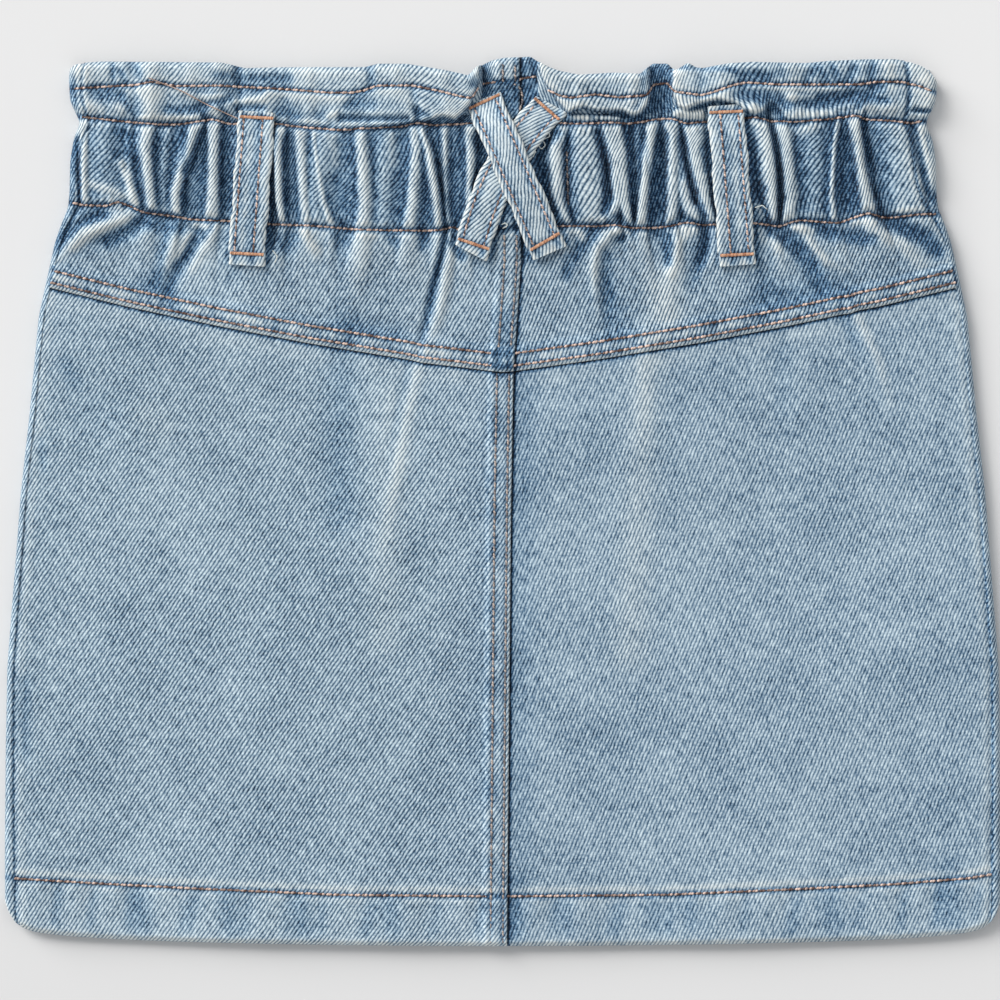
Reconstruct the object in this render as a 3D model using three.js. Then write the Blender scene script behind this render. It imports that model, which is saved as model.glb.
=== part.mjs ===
// Child's denim skirt with a gathered paper-bag waist, laid flat on its front.
// Frame: millimetres, +Z up, +Y from hem to waist, +X to the right of the back.
// The back panels face up, the front panel lies on the surface at z = 0.
import * as THREE from "three";

// Driving dimensions.
const CLOTH = 1.1; // thickness of one layer of denim
const DOUBLE = 2 * CLOTH; // hem, ruffle and felled seams are two layers
const GAP = 0.4; // between pieces at a seam
const SIDE_GAP = 1; // between front and back along the curved side seams
const BODY_TOP = 4.9; // outer face of the back over the hips
const SIDE_TOP = 5.2; // outer face at the side seams of the waist
const CASING_TOP = 6.2; // outer face between two pleats of the waist
const EDGE_RADIUS = 2; // how far the side edge rolls, seen from above
const HEM_DEPTH = 16.5;
const FELL_WIDTH = 7; // raised band of a felled seam
const FELL_RISE = 0.9; // how far that band stands above the cloth beside it
const LOOP_WIDTH = 12;
const LOOP_THICKNESS = 1.8;
const LOOP_CLEAR = 0.45; // under a belt loop
const STATIONS = 13; // along a belt loop
const CASING_LOW = 92; // y of the lower stitch line of the elastic casing at the centre
const CASING_HIGH = 126.7; // y of the upper stitch line
const DENIM_BLUE = 0x8ea2b3;

// Half width of the skirt at a height y, as [y, half width] from hem to ruffle.
const OUTLINE = [
  [-148, 165.3], [-116, 166.5], [-60, 165.5], [0, 161.5], [60, 155], [72, 152.8],
  [88, 148.8], [97, 145.4], [112, 144.5], [127, 141.6], [133, 144], [141, 145], [148, 144.4],
];
// How far each side seam lies in from the edge, as [y, distance].
const SEAM_IN_LEFT = [[-148, 4.2], [0, 4], [80, 4], [97, 4.8], [112, 4], [127, 3.9], [147, 4.6]];
const SEAM_IN_RIGHT = [[-148, 4.2], [0, 4], [80, 4], [97, 4.2], [112, 6.6], [127, 6.6], [147, 10.4]];

// The pleats of the elastic casing on the back, left to right. Each crest has an x at the upper
// stitch line, at mid height and at the lower stitch line, then its width, the width of its
// left and right flanks, and how far it stands up.
const PLEATS = [
  [-135.3, -137.0, -136.0, 4.8, 2.5, 9.0, 3.0],
  [-119.0, -118.8, -117.7, 2.8, 2.5, 2.8, 3.2],
  [-111.7, -113.0, -113.0, 3.0, 1.5, 2.2, 1.1],
  [-103.8, -107.5, -108.8, 2.6, 1.6, 0.9, 3.7],
  [-95.8, -96.3, -97.0, 2.8, 1.3, 1.2, 3.6],
  [-85.0, -86.0, -86.7, 3.0, 4.0, 4.0, 1.4],
  [-73.3, -74.5, -73.3, 1.6, 1.3, 1.2, 3.3],
  [-66.3, -66.2, -64.0, 2.6, 1.4, 2.0, 2.8],
  [-58.3, -59.0, -58.3, 2.0, 1.4, 4.0, 2.0],
  [-47.0, -47.2, -48.5, 2.6, 1.8, 1.8, 3.0],
  [-40.3, -40.3, -41.0, 3.6, 1.6, 1.8, 1.0],
  [-33.0, -31.0, -31.6, 2.0, 1.6, 1.0, 2.1],
  [-27.2, -24.0, -21.8, 2.4, 1.6, 0.9, 4.3],
  [-19.5, -18.0, -16.6, 1.5, 1.6, 1.5, 1.2],
  [-11.7, -10.8, -12.2, 1.8, 1.4, 1.4, 3.1],
  [0.0, 0.0, 0.7, 6.0, 4.0, 4.0, 0.8],
  [19.7, 17.5, 20.0, 2.6, 1.8, 1.4, 3.2],
  [27.4, 27.2, 28.2, 3.6, 1.6, 1.6, 2.6],
  [36.2, 38.2, 39.0, 4.2, 1.4, 1.0, 3.8],
  [49.6, 48.2, 46.8, 2.6, 1.4, 1.1, 3.4],
  [56.3, 57.3, 59.0, 2.2, 1.3, 1.2, 3.2],
  [63.5, 66.0, 69.0, 2.6, 1.3, 1.3, 3.0],
  [74.3, 76.0, 78.3, 3.0, 2.5, 2.5, 1.4],
  [86.0, 87.6, 89.0, 4.6, 2.4, 1.0, 3.9],
  [92.6, 95.3, 96.4, 2.2, 1.0, 2.4, 3.2],
  [101.7, 103.2, 104.0, 3.0, 1.4, 2.6, 1.4],
  [111.4, 110.8, 111.4, 1.6, 1.6, 1.1, 2.0],
  [118.4, 119.7, 121.0, 3.0, 1.5, 1.2, 3.4],
  [129.6, 132.0, 135.3, 7.0, 2.0, 1.2, 3.2],
];
// Height of the ruffle's outer face along the waist, as [x, z]: flaps stand up, recesses lie low.
const RUFFLE_TOP = [
  [-145, 5.8], [-125, 8.2], [-93, 8], [-88, 6.6], [-60, 7.4], [-40, 8.6], [-20, 10], [-10.5, 10.4],
  [-7, 5.6], [11, 5.6], [20, 8.6], [35, 10], [45.8, 10], [48.8, 5.6], [55, 5.6], [58, 10.6],
  [75, 10.2], [90, 8], [120, 7.4], [145, 5.8],
];
// The top fold of the ruffle, as [x, y].
const RUFFLE_EDGE = [
  [-145, 141.5], [-140, 144.6], [-118, 146], [-58, 144], [-41, 145.3], [-21, 144], [-10, 141.6],
  [-7, 147.2], [11, 147.7], [19, 144], [26, 142], [45.8, 142.3], [48.8, 146], [55, 146.2], [58, 144],
  [66, 144], [86, 145.3], [116, 146.7], [135, 147], [142, 144], [145, 141],
];
// Long soft folds of the back below the waist: three [x, y] points, half width, height.
const CREASES = [
  [[-120, 96], [-140, 88], [-151, 80], 5, 1.6],
  [[-20, 91], [-27, 62], [-33, 30], 6, 1.7],
  [[-33, 30], [-37, 0], [-41, -30], 9, 1.2],
  [[42, 90], [30, 82], [26, 55], 6, 1.6],
  [[50, 62], [46, 40], [47, 5], 10, 1.3],
  [[66, 91], [56, 84], [51, 72], 5, 1.6],
  [[97, 90], [110, 80], [117, 66], 6, 1.7],
  [[117, 66], [124, 44], [130, 20], 8, 1.2],
  [[-98, 92], [-94, 80], [-92, 68], 6, 1.3],
  [[-60, 92], [-62, 80], [-66, 70], 6, 1.2],
];
// Belt loops on the back, as [lower end, upper end, name of the strap it crosses over].
const BELT_LOOPS = {
  belt_loop_left: [[-84.8, 79.2], [-81.3, 129.2]],
  belt_loop_right: [[78, 79.2], [74, 131]],
  cross_loop_under: [[-9.3, 84], [15.6, 131.4]],
  cross_loop_over: [[15, 84.2], [-6.4, 134], "cross_loop_under"],
};

const { lerp, clamp, smoothstep } = THREE.MathUtils;

// The value at t of a line through [t, value] points.
function along(points, t) {
  if (t <= points[0][0]) return points[0][1];
  const next = points.findIndex(([end]) => t <= end);
  if (next < 0) return points.at(-1)[1];
  const [t0, v0] = points[next - 1];
  const [t1, v1] = points[next];
  return lerp(v0, v1, (t - t0) / (t1 - t0));
}

const halfWidth = (y) => along(OUTLINE, y);
const leftSeam = (y) => -halfWidth(y) + along(SEAM_IN_LEFT, y);
const rightSeam = (y) => halfWidth(y) - along(SEAM_IN_RIGHT, y);
const centreSeam = (y) => 2.8 + 0.0115 * y + 2 * smoothstep(y, 50, 90);
const yokeSeam = (x) => 42.2 + 0.12 * Math.hypot(x, 14) + 0.00044 * x * x;
const casingLow = (x) => CASING_LOW + (x < 0 ? 7 : 4) * (x / 145) ** 2;
// The hem sags a little at the centre and is rounded at its corners.
function hemEdge(x) {
  const u = Math.min(Math.abs(x) / 166.5, 1);
  return -147.7 + 3 * u * u + 9 * u ** 24;
}

// Columns of the waist's faceted cloth between two seams: the feet and crest of each pleat, with
// x at the upper stitch line, mid height and the lower one, and the height above the casing.
function pleatColumns() {
  const columns = [];
  for (const [high, middle, low, crest, left, right, lift] of PLEATS) {
    const half = crest / 2;
    for (const [shift, rise] of [[-half - left, 0], [-half, lift], [half, lift], [half + right, 0]]) {
      columns.push({ at: [high + shift, middle + shift, low + shift], rise });
    }
  }
  return columns;
}

// Where a column lies at height y: along its pleat in the casing, spreading evenly below it.
function columnX(column, y) {
  const [high, middle, low] = column.at;
  const floor = casingLow(low);
  const centre = (floor + CASING_HIGH) / 2;
  if (y >= CASING_HIGH) return high * (halfWidth(y) / halfWidth(CASING_HIGH));
  if (y >= centre) return lerp(middle, high, (y - centre) / (CASING_HIGH - centre));
  if (y >= floor) return lerp(low, middle, (y - floor) / (centre - floor));
  return low * (halfWidth(y) / halfWidth(floor));
}

// Height of the long soft folds at a point.
function creaseRise(x, y) {
  let rise = 0;
  for (const [a, b, c, width, height] of CREASES) {
    for (const [from, to] of [[a, b], [b, c]]) {
      const dx = to[0] - from[0];
      const dy = to[1] - from[1];
      const t = clamp(((x - from[0]) * dx + (y - from[1]) * dy) / (dx * dx + dy * dy), 0, 1);
      const away = Math.hypot(x - from[0] - t * dx, y - from[1] - t * dy);
      rise = Math.max(rise, height * (1 - smoothstep(away, 0, 2 * width)));
    }
  }
  return rise;
}

// Height of the back's outer face over the hips and the yoke, before any seam band.
function hipTop(x, y) {
  const inFromSide = Math.min(x - leftSeam(y), rightSeam(y) - x);
  const nearWaist = smoothstep(y, 60, 88);
  const side = lerp(BODY_TOP, SIDE_TOP, nearWaist);
  const middle = lerp(BODY_TOP, CASING_TOP, nearWaist);
  return lerp(side, middle, smoothstep(inFromSide, 0, 14)) + creaseRise(x, y) * smoothstep(inFromSide, 0, 10);
}

// How far a felled seam's band raises the cloth: full within the band, gone just past it.
const fellRise = (distance) =>
  distance < 0 ? 0 : FELL_RISE * (1 - smoothstep(distance, FELL_WIDTH - 1, FELL_WIDTH + 1));

// How much of a pleat's height is left at height y.
function pleatShare(x, y) {
  const low = casingLow(x);
  if (y < low) return 0.75 * smoothstep(y, low - 30, low);
  if (y > CASING_HIGH) return 0.75 * (1 - smoothstep(y, CASING_HIGH, CASING_HIGH + 8));
  return 0.75 + 0.25 * Math.sin((Math.PI * (y - low)) / (CASING_HIGH - low));
}

// A closed slab of cloth round a grid of points on its middle: outer faces +normal by half a
// layer, inner lies depth(row, column) below the outer face.
function slab(grid, depth) {
  const rows = grid.length;
  const columns = grid[0].length;
  const outer = [];
  const inner = [];
  for (let i = 0; i < rows; i++) {
    for (let j = 0; j < columns; j++) {
      const along1 = new THREE.Vector3().subVectors(
        grid[i][Math.min(j + 1, columns - 1)], grid[i][Math.max(j - 1, 0)]);
      const along2 = new THREE.Vector3().subVectors(
        grid[Math.min(i + 1, rows - 1)][j], grid[Math.max(i - 1, 0)][j]);
      const normal = along1.cross(along2).normalize();
      outer.push(grid[i][j].clone().addScaledVector(normal, CLOTH / 2));
      inner.push(grid[i][j].clone().addScaledVector(normal, CLOTH / 2 - depth(i, j)));
    }
  }
  return closedShell(outer, inner, rows, columns);
}

// The closed surface between two grids of points that face each other.
function closedShell(outer, inner, rows, columns) {
  const index = [];
  const under = rows * columns;
  const quad = (a, b, c, d) => index.push(a, b, c, a, c, d);
  for (let i = 0; i < rows - 1; i++) {
    for (let j = 0; j < columns - 1; j++) {
      const a = i * columns + j;
      quad(a, a + 1, a + columns + 1, a + columns);
      quad(under + a, under + a + columns, under + a + columns + 1, under + a + 1);
    }
  }
  for (let j = 0; j < columns - 1; j++) {
    const last = (rows - 1) * columns + j;
    quad(j, under + j, under + j + 1, j + 1);
    quad(last, last + 1, under + last + 1, under + last);
  }
  for (let i = 0; i < rows - 1; i++) {
    const left = i * columns;
    const right = left + columns - 1;
    quad(left, left + columns, under + left + columns, under + left);
    quad(right, under + right, under + right + columns, right + columns);
  }
  const geometry = new THREE.BufferGeometry().setFromPoints([...outer, ...inner]);
  geometry.setIndex(index);
  geometry.computeVertexNormals();
  return geometry;
}

// One half of the back below the yoke seam: the hem is folded up inside it.
function backPanel(side) {
  const columns = 13;
  const shares = [0, 0.5, 0.97, 1]; // of the hem's depth
  const upper = 7;
  const grid = [];
  for (let i = 0; i < shares.length + upper; i++) {
    const row = [];
    for (let j = 0; j < columns; j++) {
      const across = j / (columns - 1);
      const edgeX = (y) => (side < 0
        ? lerp(leftSeam(y), centreSeam(y) - GAP / 2, across)
        : lerp(centreSeam(y) + GAP / 2, rightSeam(y), across));
      let x = edgeX(-120);
      let y = 0;
      for (let pass = 0; pass < 3; pass++) {
        const hem = hemEdge(x);
        const fold = hem + HEM_DEPTH;
        const top = yokeSeam(x) - 1.5 * GAP;
        const share = (i - shares.length + 1) / upper;
        y = i < shares.length ? hem + HEM_DEPTH * shares[i] : lerp(fold, top, share);
        x = edgeX(y);
      }
      const band = side < 0 ? fellRise(centreSeam(y) - x) : 0;
      row.push(new THREE.Vector3(x, y, hipTop(x, y) + band - CLOTH / 2));
    }
    grid.push(row);
  }
  return slab(grid, (i) => (i < shares.length - 1 ? DOUBLE : CLOTH));
}

// One half of the yoke, cut in one with the elastic casing and the ruffle above it.
function backYoke(side) {
  const edge = side < 0 ? leftSeam : rightSeam;
  const middle = (y) => centreSeam(y) + (side * GAP) / 2;
  const inside = (x, y) =>
    side < 0 ? x > edge(y) + 1 && x < middle(y) - 0.8 : x < edge(y) - 1 && x > middle(y) + 0.8;
  const columns = pleatColumns().filter((c) =>
    [[c.at[0], CASING_HIGH], [c.at[1], 110], [c.at[2], 93], [columnX(c, 147), 147], [columnX(c, 60), 60]]
      .every(([x, y]) => inside(x, y)));
  const sideEdge = { edge, rise: 0 };
  const centreEdge = { edge: middle, rise: 0.8 };
  const ordered = side < 0 ? [sideEdge, ...columns, centreEdge] : [centreEdge, ...columns, sideEdge];
  const yokeShares = [0, 0.16, 0.45, 0.78]; // from the yoke seam to the lower stitch line
  const casingShares = [0, 0.3, 0.7, 1];
  const ruffleShares = [0.2, 0.5, 0.85, 1];
  const rows = [
    ...yokeShares.map((share) => (x) => lerp(yokeSeam(x), casingLow(x), share)),
    ...casingShares.map((share) => (x) => lerp(casingLow(x), CASING_HIGH, share)),
    ...ruffleShares.map((share) => (x) => lerp(CASING_HIGH, along(RUFFLE_EDGE, x), share)),
  ];
  const firstRuffle = yokeShares.length + casingShares.length;
  const grid = rows.map((rowY, i) => ordered.map((column) => {
    const place = (y) => (column.edge ? column.edge(y) : columnX(column, y));
    let y = rowY(place(110));
    for (let pass = 0; pass < 3; pass++) y = rowY(place(y));
    const x = place(y);
    const waist = hipTop(x, Math.min(y, 110)) + column.rise * pleatShare(x, y);
    const ruffle = along(RUFFLE_TOP, x);
    const share = i < firstRuffle ? 0 : ruffleShares[i - firstRuffle];
    const upright = smoothstep(share, 0, 0.45);
    const tip = share === 1 ? -0.7 : 0;
    const band = (i < 2 ? FELL_RISE : 0)
      + (side < 0 && i < firstRuffle ? fellRise(centreSeam(y) - x) : 0);
    const topZ = lerp(waist, Math.max(ruffle, SIDE_TOP), upright) + tip + Math.min(band, FELL_RISE);
    return new THREE.Vector3(x, y, topZ - CLOTH / 2);
  }));
  return slab(grid, (i) => (i >= firstRuffle || i < 2 ? DOUBLE : CLOTH));
}

// The front in one piece from hem to ruffle; its side edges roll up to meet the back.
function frontPanel() {
  const flatColumns = 31;
  const rollSteps = 4;
  const ruffleEdge = (x) => 145.4 - 4 * Math.min(Math.abs(x) / 145, 1) ** 8;
  const hemFold = (x) => hemEdge(x) + HEM_DEPTH;
  const yRows = [
    ...[0, 0.5, 0.97, 1].map((share) => (x) => hemEdge(x) + HEM_DEPTH * share),
    ...[0.3, 0.6, 0.85, 1].map((share) => (x) => lerp(hemFold(x), 52, share)),
    ...[0.28, 0.55, 0.8, 1].map((share) => (x) => lerp(52, casingLow(x), share)),
    ...[0.33, 0.67, 1].map((share) => (x) => lerp(casingLow(x), CASING_HIGH, share)),
    ...[0.3, 0.65, 1].map((share) => (x) => lerp(CASING_HIGH, ruffleEdge(x), share)),
  ];
  const hemRows = 3;
  const ruffleRow = 15;
  // Pleats of the casing rest on their crests, so the cloth between them stands up.
  const lift = (j, y) => {
    const share = smoothstep(y, 72, 92) * (1 - 0.8 * smoothstep(y, CASING_HIGH, 134));
    return j % 2 ? share * (1.9 + 0.5 * Math.sin(2.1 * j)) : 0;
  };
  const grid = yRows.map((rowY, i) => {
    const row = [];
    // One point of the side's roll; the last step is the edge sewn to the back.
    const rolled = (side, angle, seam) => {
      let y = rowY(150);
      let x = 0;
      for (let pass = 0; pass < 3; pass++) {
        const reach = halfWidth(y) - CLOTH / 2 - EDGE_RADIUS + EDGE_RADIUS * Math.cos(angle);
        x = seam ? Math.abs(side < 0 ? leftSeam(y) : rightSeam(y)) + SIDE_GAP : reach;
        y = rowY(x);
      }
      const upper = lerp(BODY_TOP, SIDE_TOP, smoothstep(y, 60, 88)) - CLOTH / 2;
      const centreZ = (upper + CLOTH / 2) / 2;
      const z = seam ? upper : centreZ + (centreZ - CLOTH / 2) * Math.sin(angle);
      row.push(new THREE.Vector3(side * x, y, z));
    };
    rolled(-1, Math.PI / 2, true);
    for (let k = 0; k <= rollSteps; k++) rolled(-1, Math.PI * (0.5 - k / rollSteps), false);
    for (let j = 1; j < flatColumns; j++) {
      const u = (2 * j) / flatColumns - 1;
      let x = u * 150;
      for (let pass = 0; pass < 3; pass++) x = u * (halfWidth(rowY(x)) - EDGE_RADIUS - CLOTH);
      row.push(new THREE.Vector3(x, rowY(x), CLOTH / 2 + lift(j, rowY(x))));
    }
    for (let k = 0; k <= rollSteps; k++) rolled(1, Math.PI * (k / rollSteps - 0.5), false);
    rolled(1, Math.PI / 2, true);
    // The outer face is the one that lies on the surface, so the row runs the other way.
    return row.reverse();
  });
  return slab(grid, (i) => (i < hemRows || i >= ruffleRow ? DOUBLE : CLOTH));
}

// Height of the back's outer face, pleats included, for what lies on it.
function backTop(x, y) {
  let rise = 0;
  for (const [high, middle, low, crest, left, right, lift] of PLEATS) {
    const at = columnX({ at: [high, middle, low] }, y);
    const away = x < at ? (at - crest / 2 - x) / left : (x - at - crest / 2) / right;
    rise = Math.max(rise, lift * clamp(1 - away, 0, 1));
  }
  const fell = Math.abs(x - centreSeam(y)) < 9 ? FELL_RISE : 0;
  const waist = hipTop(x, Math.min(y, 110)) + rise * pleatShare(x, y) + fell;
  const share = (y - CASING_HIGH) / (along(RUFFLE_EDGE, x) - CASING_HIGH);
  return share < 0 ? waist : Math.max(waist, lerp(waist, along(RUFFLE_TOP, x), smoothstep(share, 0, 0.45)));
}

// A belt loop: a flat strap drawn tight over the pleats between its two ends, and over the
// strap it crosses. Returns the height of its underside at each station from end to end.
function strapHeights(loop) {
  const crossed = loop[2];
  const under = crossed ? strapHeights(BELT_LOOPS[crossed]) : [];
  const rest = [];
  for (let i = 0; i < STATIONS; i++) {
    let highest = 0;
    for (let k = -8; k <= 8; k++) {
      for (let m = -2; m <= 2; m++) {
        const [x, y] = strapPoint(loop, (i + m / 2) / (STATIONS - 1), (k * LOOP_WIDTH) / 16);
        highest = Math.max(highest, backTop(x, y), crossed ? strapTop(BELT_LOOPS[crossed], under, x, y) : 0);
      }
    }
    rest.push(highest + LOOP_CLEAR);
  }
  // Drawn tight: no station lies under the straight line between two others.
  return rest.map((own, i) => {
    let z = own;
    for (let a = 0; a < i; a++) {
      for (let b = i + 1; b < STATIONS; b++) z = Math.max(z, lerp(rest[a], rest[b], (i - a) / (b - a)));
    }
    return z;
  });
}

// A point on a strap, by its share of the length and how far it is off the centre line.
function strapPoint([lower, upper], share, off) {
  const [dx, dy] = [upper[0] - lower[0], upper[1] - lower[1]];
  const length = Math.hypot(dx, dy);
  return [lower[0] + dx * share + (dy / length) * off, lower[1] + dy * share - (dx / length) * off];
}

// Height of a strap's upper face above a point, or nothing where the strap is not.
function strapTop([lower, upper], heights, x, y) {
  const [dx, dy] = [upper[0] - lower[0], upper[1] - lower[1]];
  const length = Math.hypot(dx, dy);
  const share = ((x - lower[0]) * dx + (y - lower[1]) * dy) / length ** 2;
  const off = ((x - lower[0]) * dy - (y - lower[1]) * dx) / length;
  if (share < -0.05 || share > 1.05 || Math.abs(off) > LOOP_WIDTH / 2 + 1) return 0;
  return along(heights.map((z, i) => [i / (STATIONS - 1), z]), share) + LOOP_THICKNESS;
}

function beltLoop(loop) {
  const outer = [];
  const inner = [];
  strapHeights(loop).forEach((z, i) => {
    for (const side of [-1, 1]) {
      const [x, y] = strapPoint(loop, i / (STATIONS - 1), (side * LOOP_WIDTH) / 2);
      inner.push(new THREE.Vector3(x, y, z));
      outer.push(new THREE.Vector3(x, y, z + LOOP_THICKNESS));
    }
  });
  return closedShell(outer, inner, STATIONS, 2);
}

const denim = new THREE.MeshStandardMaterial({ color: DENIM_BLUE, roughness: 0.92, metalness: 0 });
const skirt = new THREE.Group();
function add(name, geometry) {
  const mesh = new THREE.Mesh(geometry, denim);
  mesh.name = name;
  skirt.add(mesh);
}

add("front_panel", frontPanel());
add("back_panel_left", backPanel(-1));
add("back_panel_right", backPanel(1));
add("back_yoke_left", backYoke(-1));
add("back_yoke_right", backYoke(1));
for (const [name, loop] of Object.entries(BELT_LOOPS)) add(name, beltLoop(loop));

export default skirt;
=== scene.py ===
"""Child's denim skirt with a gathered paper-bag waist, laid flat on its front."""

import math

import bpy
import numpy as np
from bpy.props import FloatProperty, FloatVectorProperty, IntProperty, PointerProperty
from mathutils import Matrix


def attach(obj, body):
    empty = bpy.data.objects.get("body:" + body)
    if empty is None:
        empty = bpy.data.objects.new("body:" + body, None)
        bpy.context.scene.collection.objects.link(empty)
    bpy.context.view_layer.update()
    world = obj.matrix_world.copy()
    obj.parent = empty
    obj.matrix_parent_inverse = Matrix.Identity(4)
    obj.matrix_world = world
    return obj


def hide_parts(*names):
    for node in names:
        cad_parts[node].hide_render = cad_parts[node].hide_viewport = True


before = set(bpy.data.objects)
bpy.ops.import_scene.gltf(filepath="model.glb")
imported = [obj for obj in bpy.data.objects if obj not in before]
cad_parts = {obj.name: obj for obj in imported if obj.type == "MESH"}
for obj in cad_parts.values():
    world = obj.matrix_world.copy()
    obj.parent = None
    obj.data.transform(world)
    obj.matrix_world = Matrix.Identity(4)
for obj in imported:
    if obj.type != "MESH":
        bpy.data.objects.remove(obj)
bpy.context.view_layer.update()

bl_info = {
    "name": "Denim Skirt, Laid Flat",
    "version": (1, 0, 0),
    "blender": (4, 5, 0),
    "location": "View3D > Sidebar > Skirt",
    "description": "Builds a child's denim skirt piece by piece, lying on a pale table",
    "category": "Object",
}

MM = 0.001  # the pieces are laid out in millimetres and stored in metres

# ---------------------------------------------------------------- lay of the cloth
# Outline, seams and folds, in millimetres: x to the right, y from hem to waist, z up.

# Half width of the skirt at a height y.
OUTLINE = [
    (-152, 164.6), (-146, 165.4), (-136, 166.2), (-116, 166.3), (-80, 166.0), (-55, 165.5),
    (-18, 162.6), (3, 161), (30, 158), (62, 155), (72.5, 152.7), (87, 149.5), (94, 147),
    (98, 145.2), (104, 144.7), (114, 144.5), (121, 143.4), (126.5, 141), (130, 142.8),
    (134, 144.6), (142, 144.9), (150, 143.6),
]  # fmt: skip
# How far each side seam lies in from the edge of the skirt at a height y.
SEAM_IN_LEFT = [(-152, 4.0), (-100, 3.0), (0, 1.8), (60, 0.9), (80, 1.2), (92, 2.6), (98, 3.6),
                (112, 3.4), (124, 3.0), (130, 3.8), (150, 4.6)]  # fmt: skip
SEAM_IN_RIGHT = [(-152, 3.6), (-100, 3.0), (0, 2.0), (60, 1.2), (84, 1.0), (92, 2.2), (99, 4.2),
                 (107, 7.0), (117, 7.6), (126, 7.0), (134, 9.4), (150, 10.4)]  # fmt: skip
# The lower edge of the yoke, with the small jogs where a fold crosses it.
YOKE_SEAM = [
    (-170, 76.4), (-155, 72.4), (-125, 65.1), (-95, 58.7), (-65, 53), (-32, 47.6), (-28.7, 46.9),
    (-27.5, 46.5), (-15, 45.1), (-4, 43.7), (0, 43.3), (4, 43.7), (32, 47.6), (65, 53), (95, 58.7),
    (113, 62.6), (115.7, 62.8), (118, 63.8), (125, 65.1), (155, 72.4), (170, 76.4),
]  # fmt: skip
# The upper and lower stitch lines of the elastic casing.
CASING_HIGH = [
    (-150, 128.6), (-141, 128.4), (-128, 127), (-117, 126), (-110, 125.8), (-104, 126.4),
    (-97, 127.6), (-91, 126), (-75, 126), (-67, 124.9), (-55, 124), (-43, 124.8), (-34, 125.2),
    (-29, 126.4), (-23, 125.6), (-15, 126), (0, 126.6), (16, 126.5), (24, 126), (35, 126.4),
    (42, 126.2), (47, 126.8), (53, 127.8), (57, 127.6), (61, 126), (66, 126.6), (84, 128.2),
    (90, 126.8), (98, 126.8), (108, 127.6), (118, 128.8), (121, 127.6), (130, 127), (136, 126.3),
    (142, 127.4), (150, 127.4),
]  # fmt: skip
CASING_LOW = [
    (-150, 101), (-145.7, 100.3), (-140, 99), (-132, 98.7), (-128.4, 100.2), (-123.4, 98.2),
    (-120.4, 96.7), (-110, 95.4), (-104, 94.2), (-91.7, 93.7), (-76, 92.6), (-62, 92),
    (-48, 90.8), (-32, 90.5), (-22, 90.5), (-16, 91.8), (-14, 90), (4, 91.3), (20, 92),
    (32, 92), (37, 92.3), (43, 91.4), (50, 91.4), (56, 92), (61, 93.2), (67, 92.4), (84, 93),
    (92.7, 91.9), (95, 93), (99, 94), (108, 93.3), (112, 93), (119, 95.5), (122, 96.4),
    (127, 94.8), (131, 95), (139, 96), (150, 96),
]  # fmt: skip
# The stitch line of the ruffle, and its top fold.
RUFFLE_LINE = [
    (-150, 137.6), (-145, 137.7), (-134, 138.4), (-122, 139), (-117, 140), (-109, 138.6),
    (-94, 138.7), (-79, 138), (-70, 137.4), (-58, 136.4), (-50, 136.4), (-46, 137.3),
    (-42, 138.7), (-30, 138.7), (-22, 137), (-14, 135), (-10.5, 134.4), (-7.5, 139.4),
    (0, 140.3), (4, 140.3), (6, 141.2), (11.5, 142), (14, 137.8), (18.7, 135.3), (22.7, 134.5),
    (30.7, 135.7), (38.7, 134.7), (48, 135.4), (50, 139.2), (55, 139.8), (57, 136.6),
    (66, 135.4), (70, 136.4), (77, 138.9), (81, 139.7), (92, 139), (119, 139.2), (124, 140),
    (133, 140), (139, 138.6), (145, 136),
]  # fmt: skip
RUFFLE_EDGE = [
    (-150, 141), (-146, 143.4), (-142.4, 146), (-134, 146.6), (-94, 146.2), (-90, 145.4),
    (-86, 144.4), (-73, 144.7), (-46, 144.7), (-41.7, 145.8), (-32, 145.7), (-26, 144.7),
    (-20, 143.7), (-14, 142.4), (-11.6, 141.7), (-8.6, 145), (-7.4, 145.2), (-3.6, 147),
    (0.4, 147.8), (9.3, 148.3), (11.7, 146.6), (15, 144.7), (18.7, 143.3), (25.4, 142),
    (36.7, 142.7), (45.7, 142.3), (48, 144.4), (50, 146), (55, 146), (57.4, 143.4),
    (61.6, 146), (64.5, 144.4), (67, 144.3), (75, 145.8), (83, 146.3), (101, 146),
    (109, 146.8), (121, 147.3), (131, 147.3), (136, 146.6), (140, 145.2), (143, 142.8),
    (144.6, 140.4), (146, 137.6),
]  # fmt: skip

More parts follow.
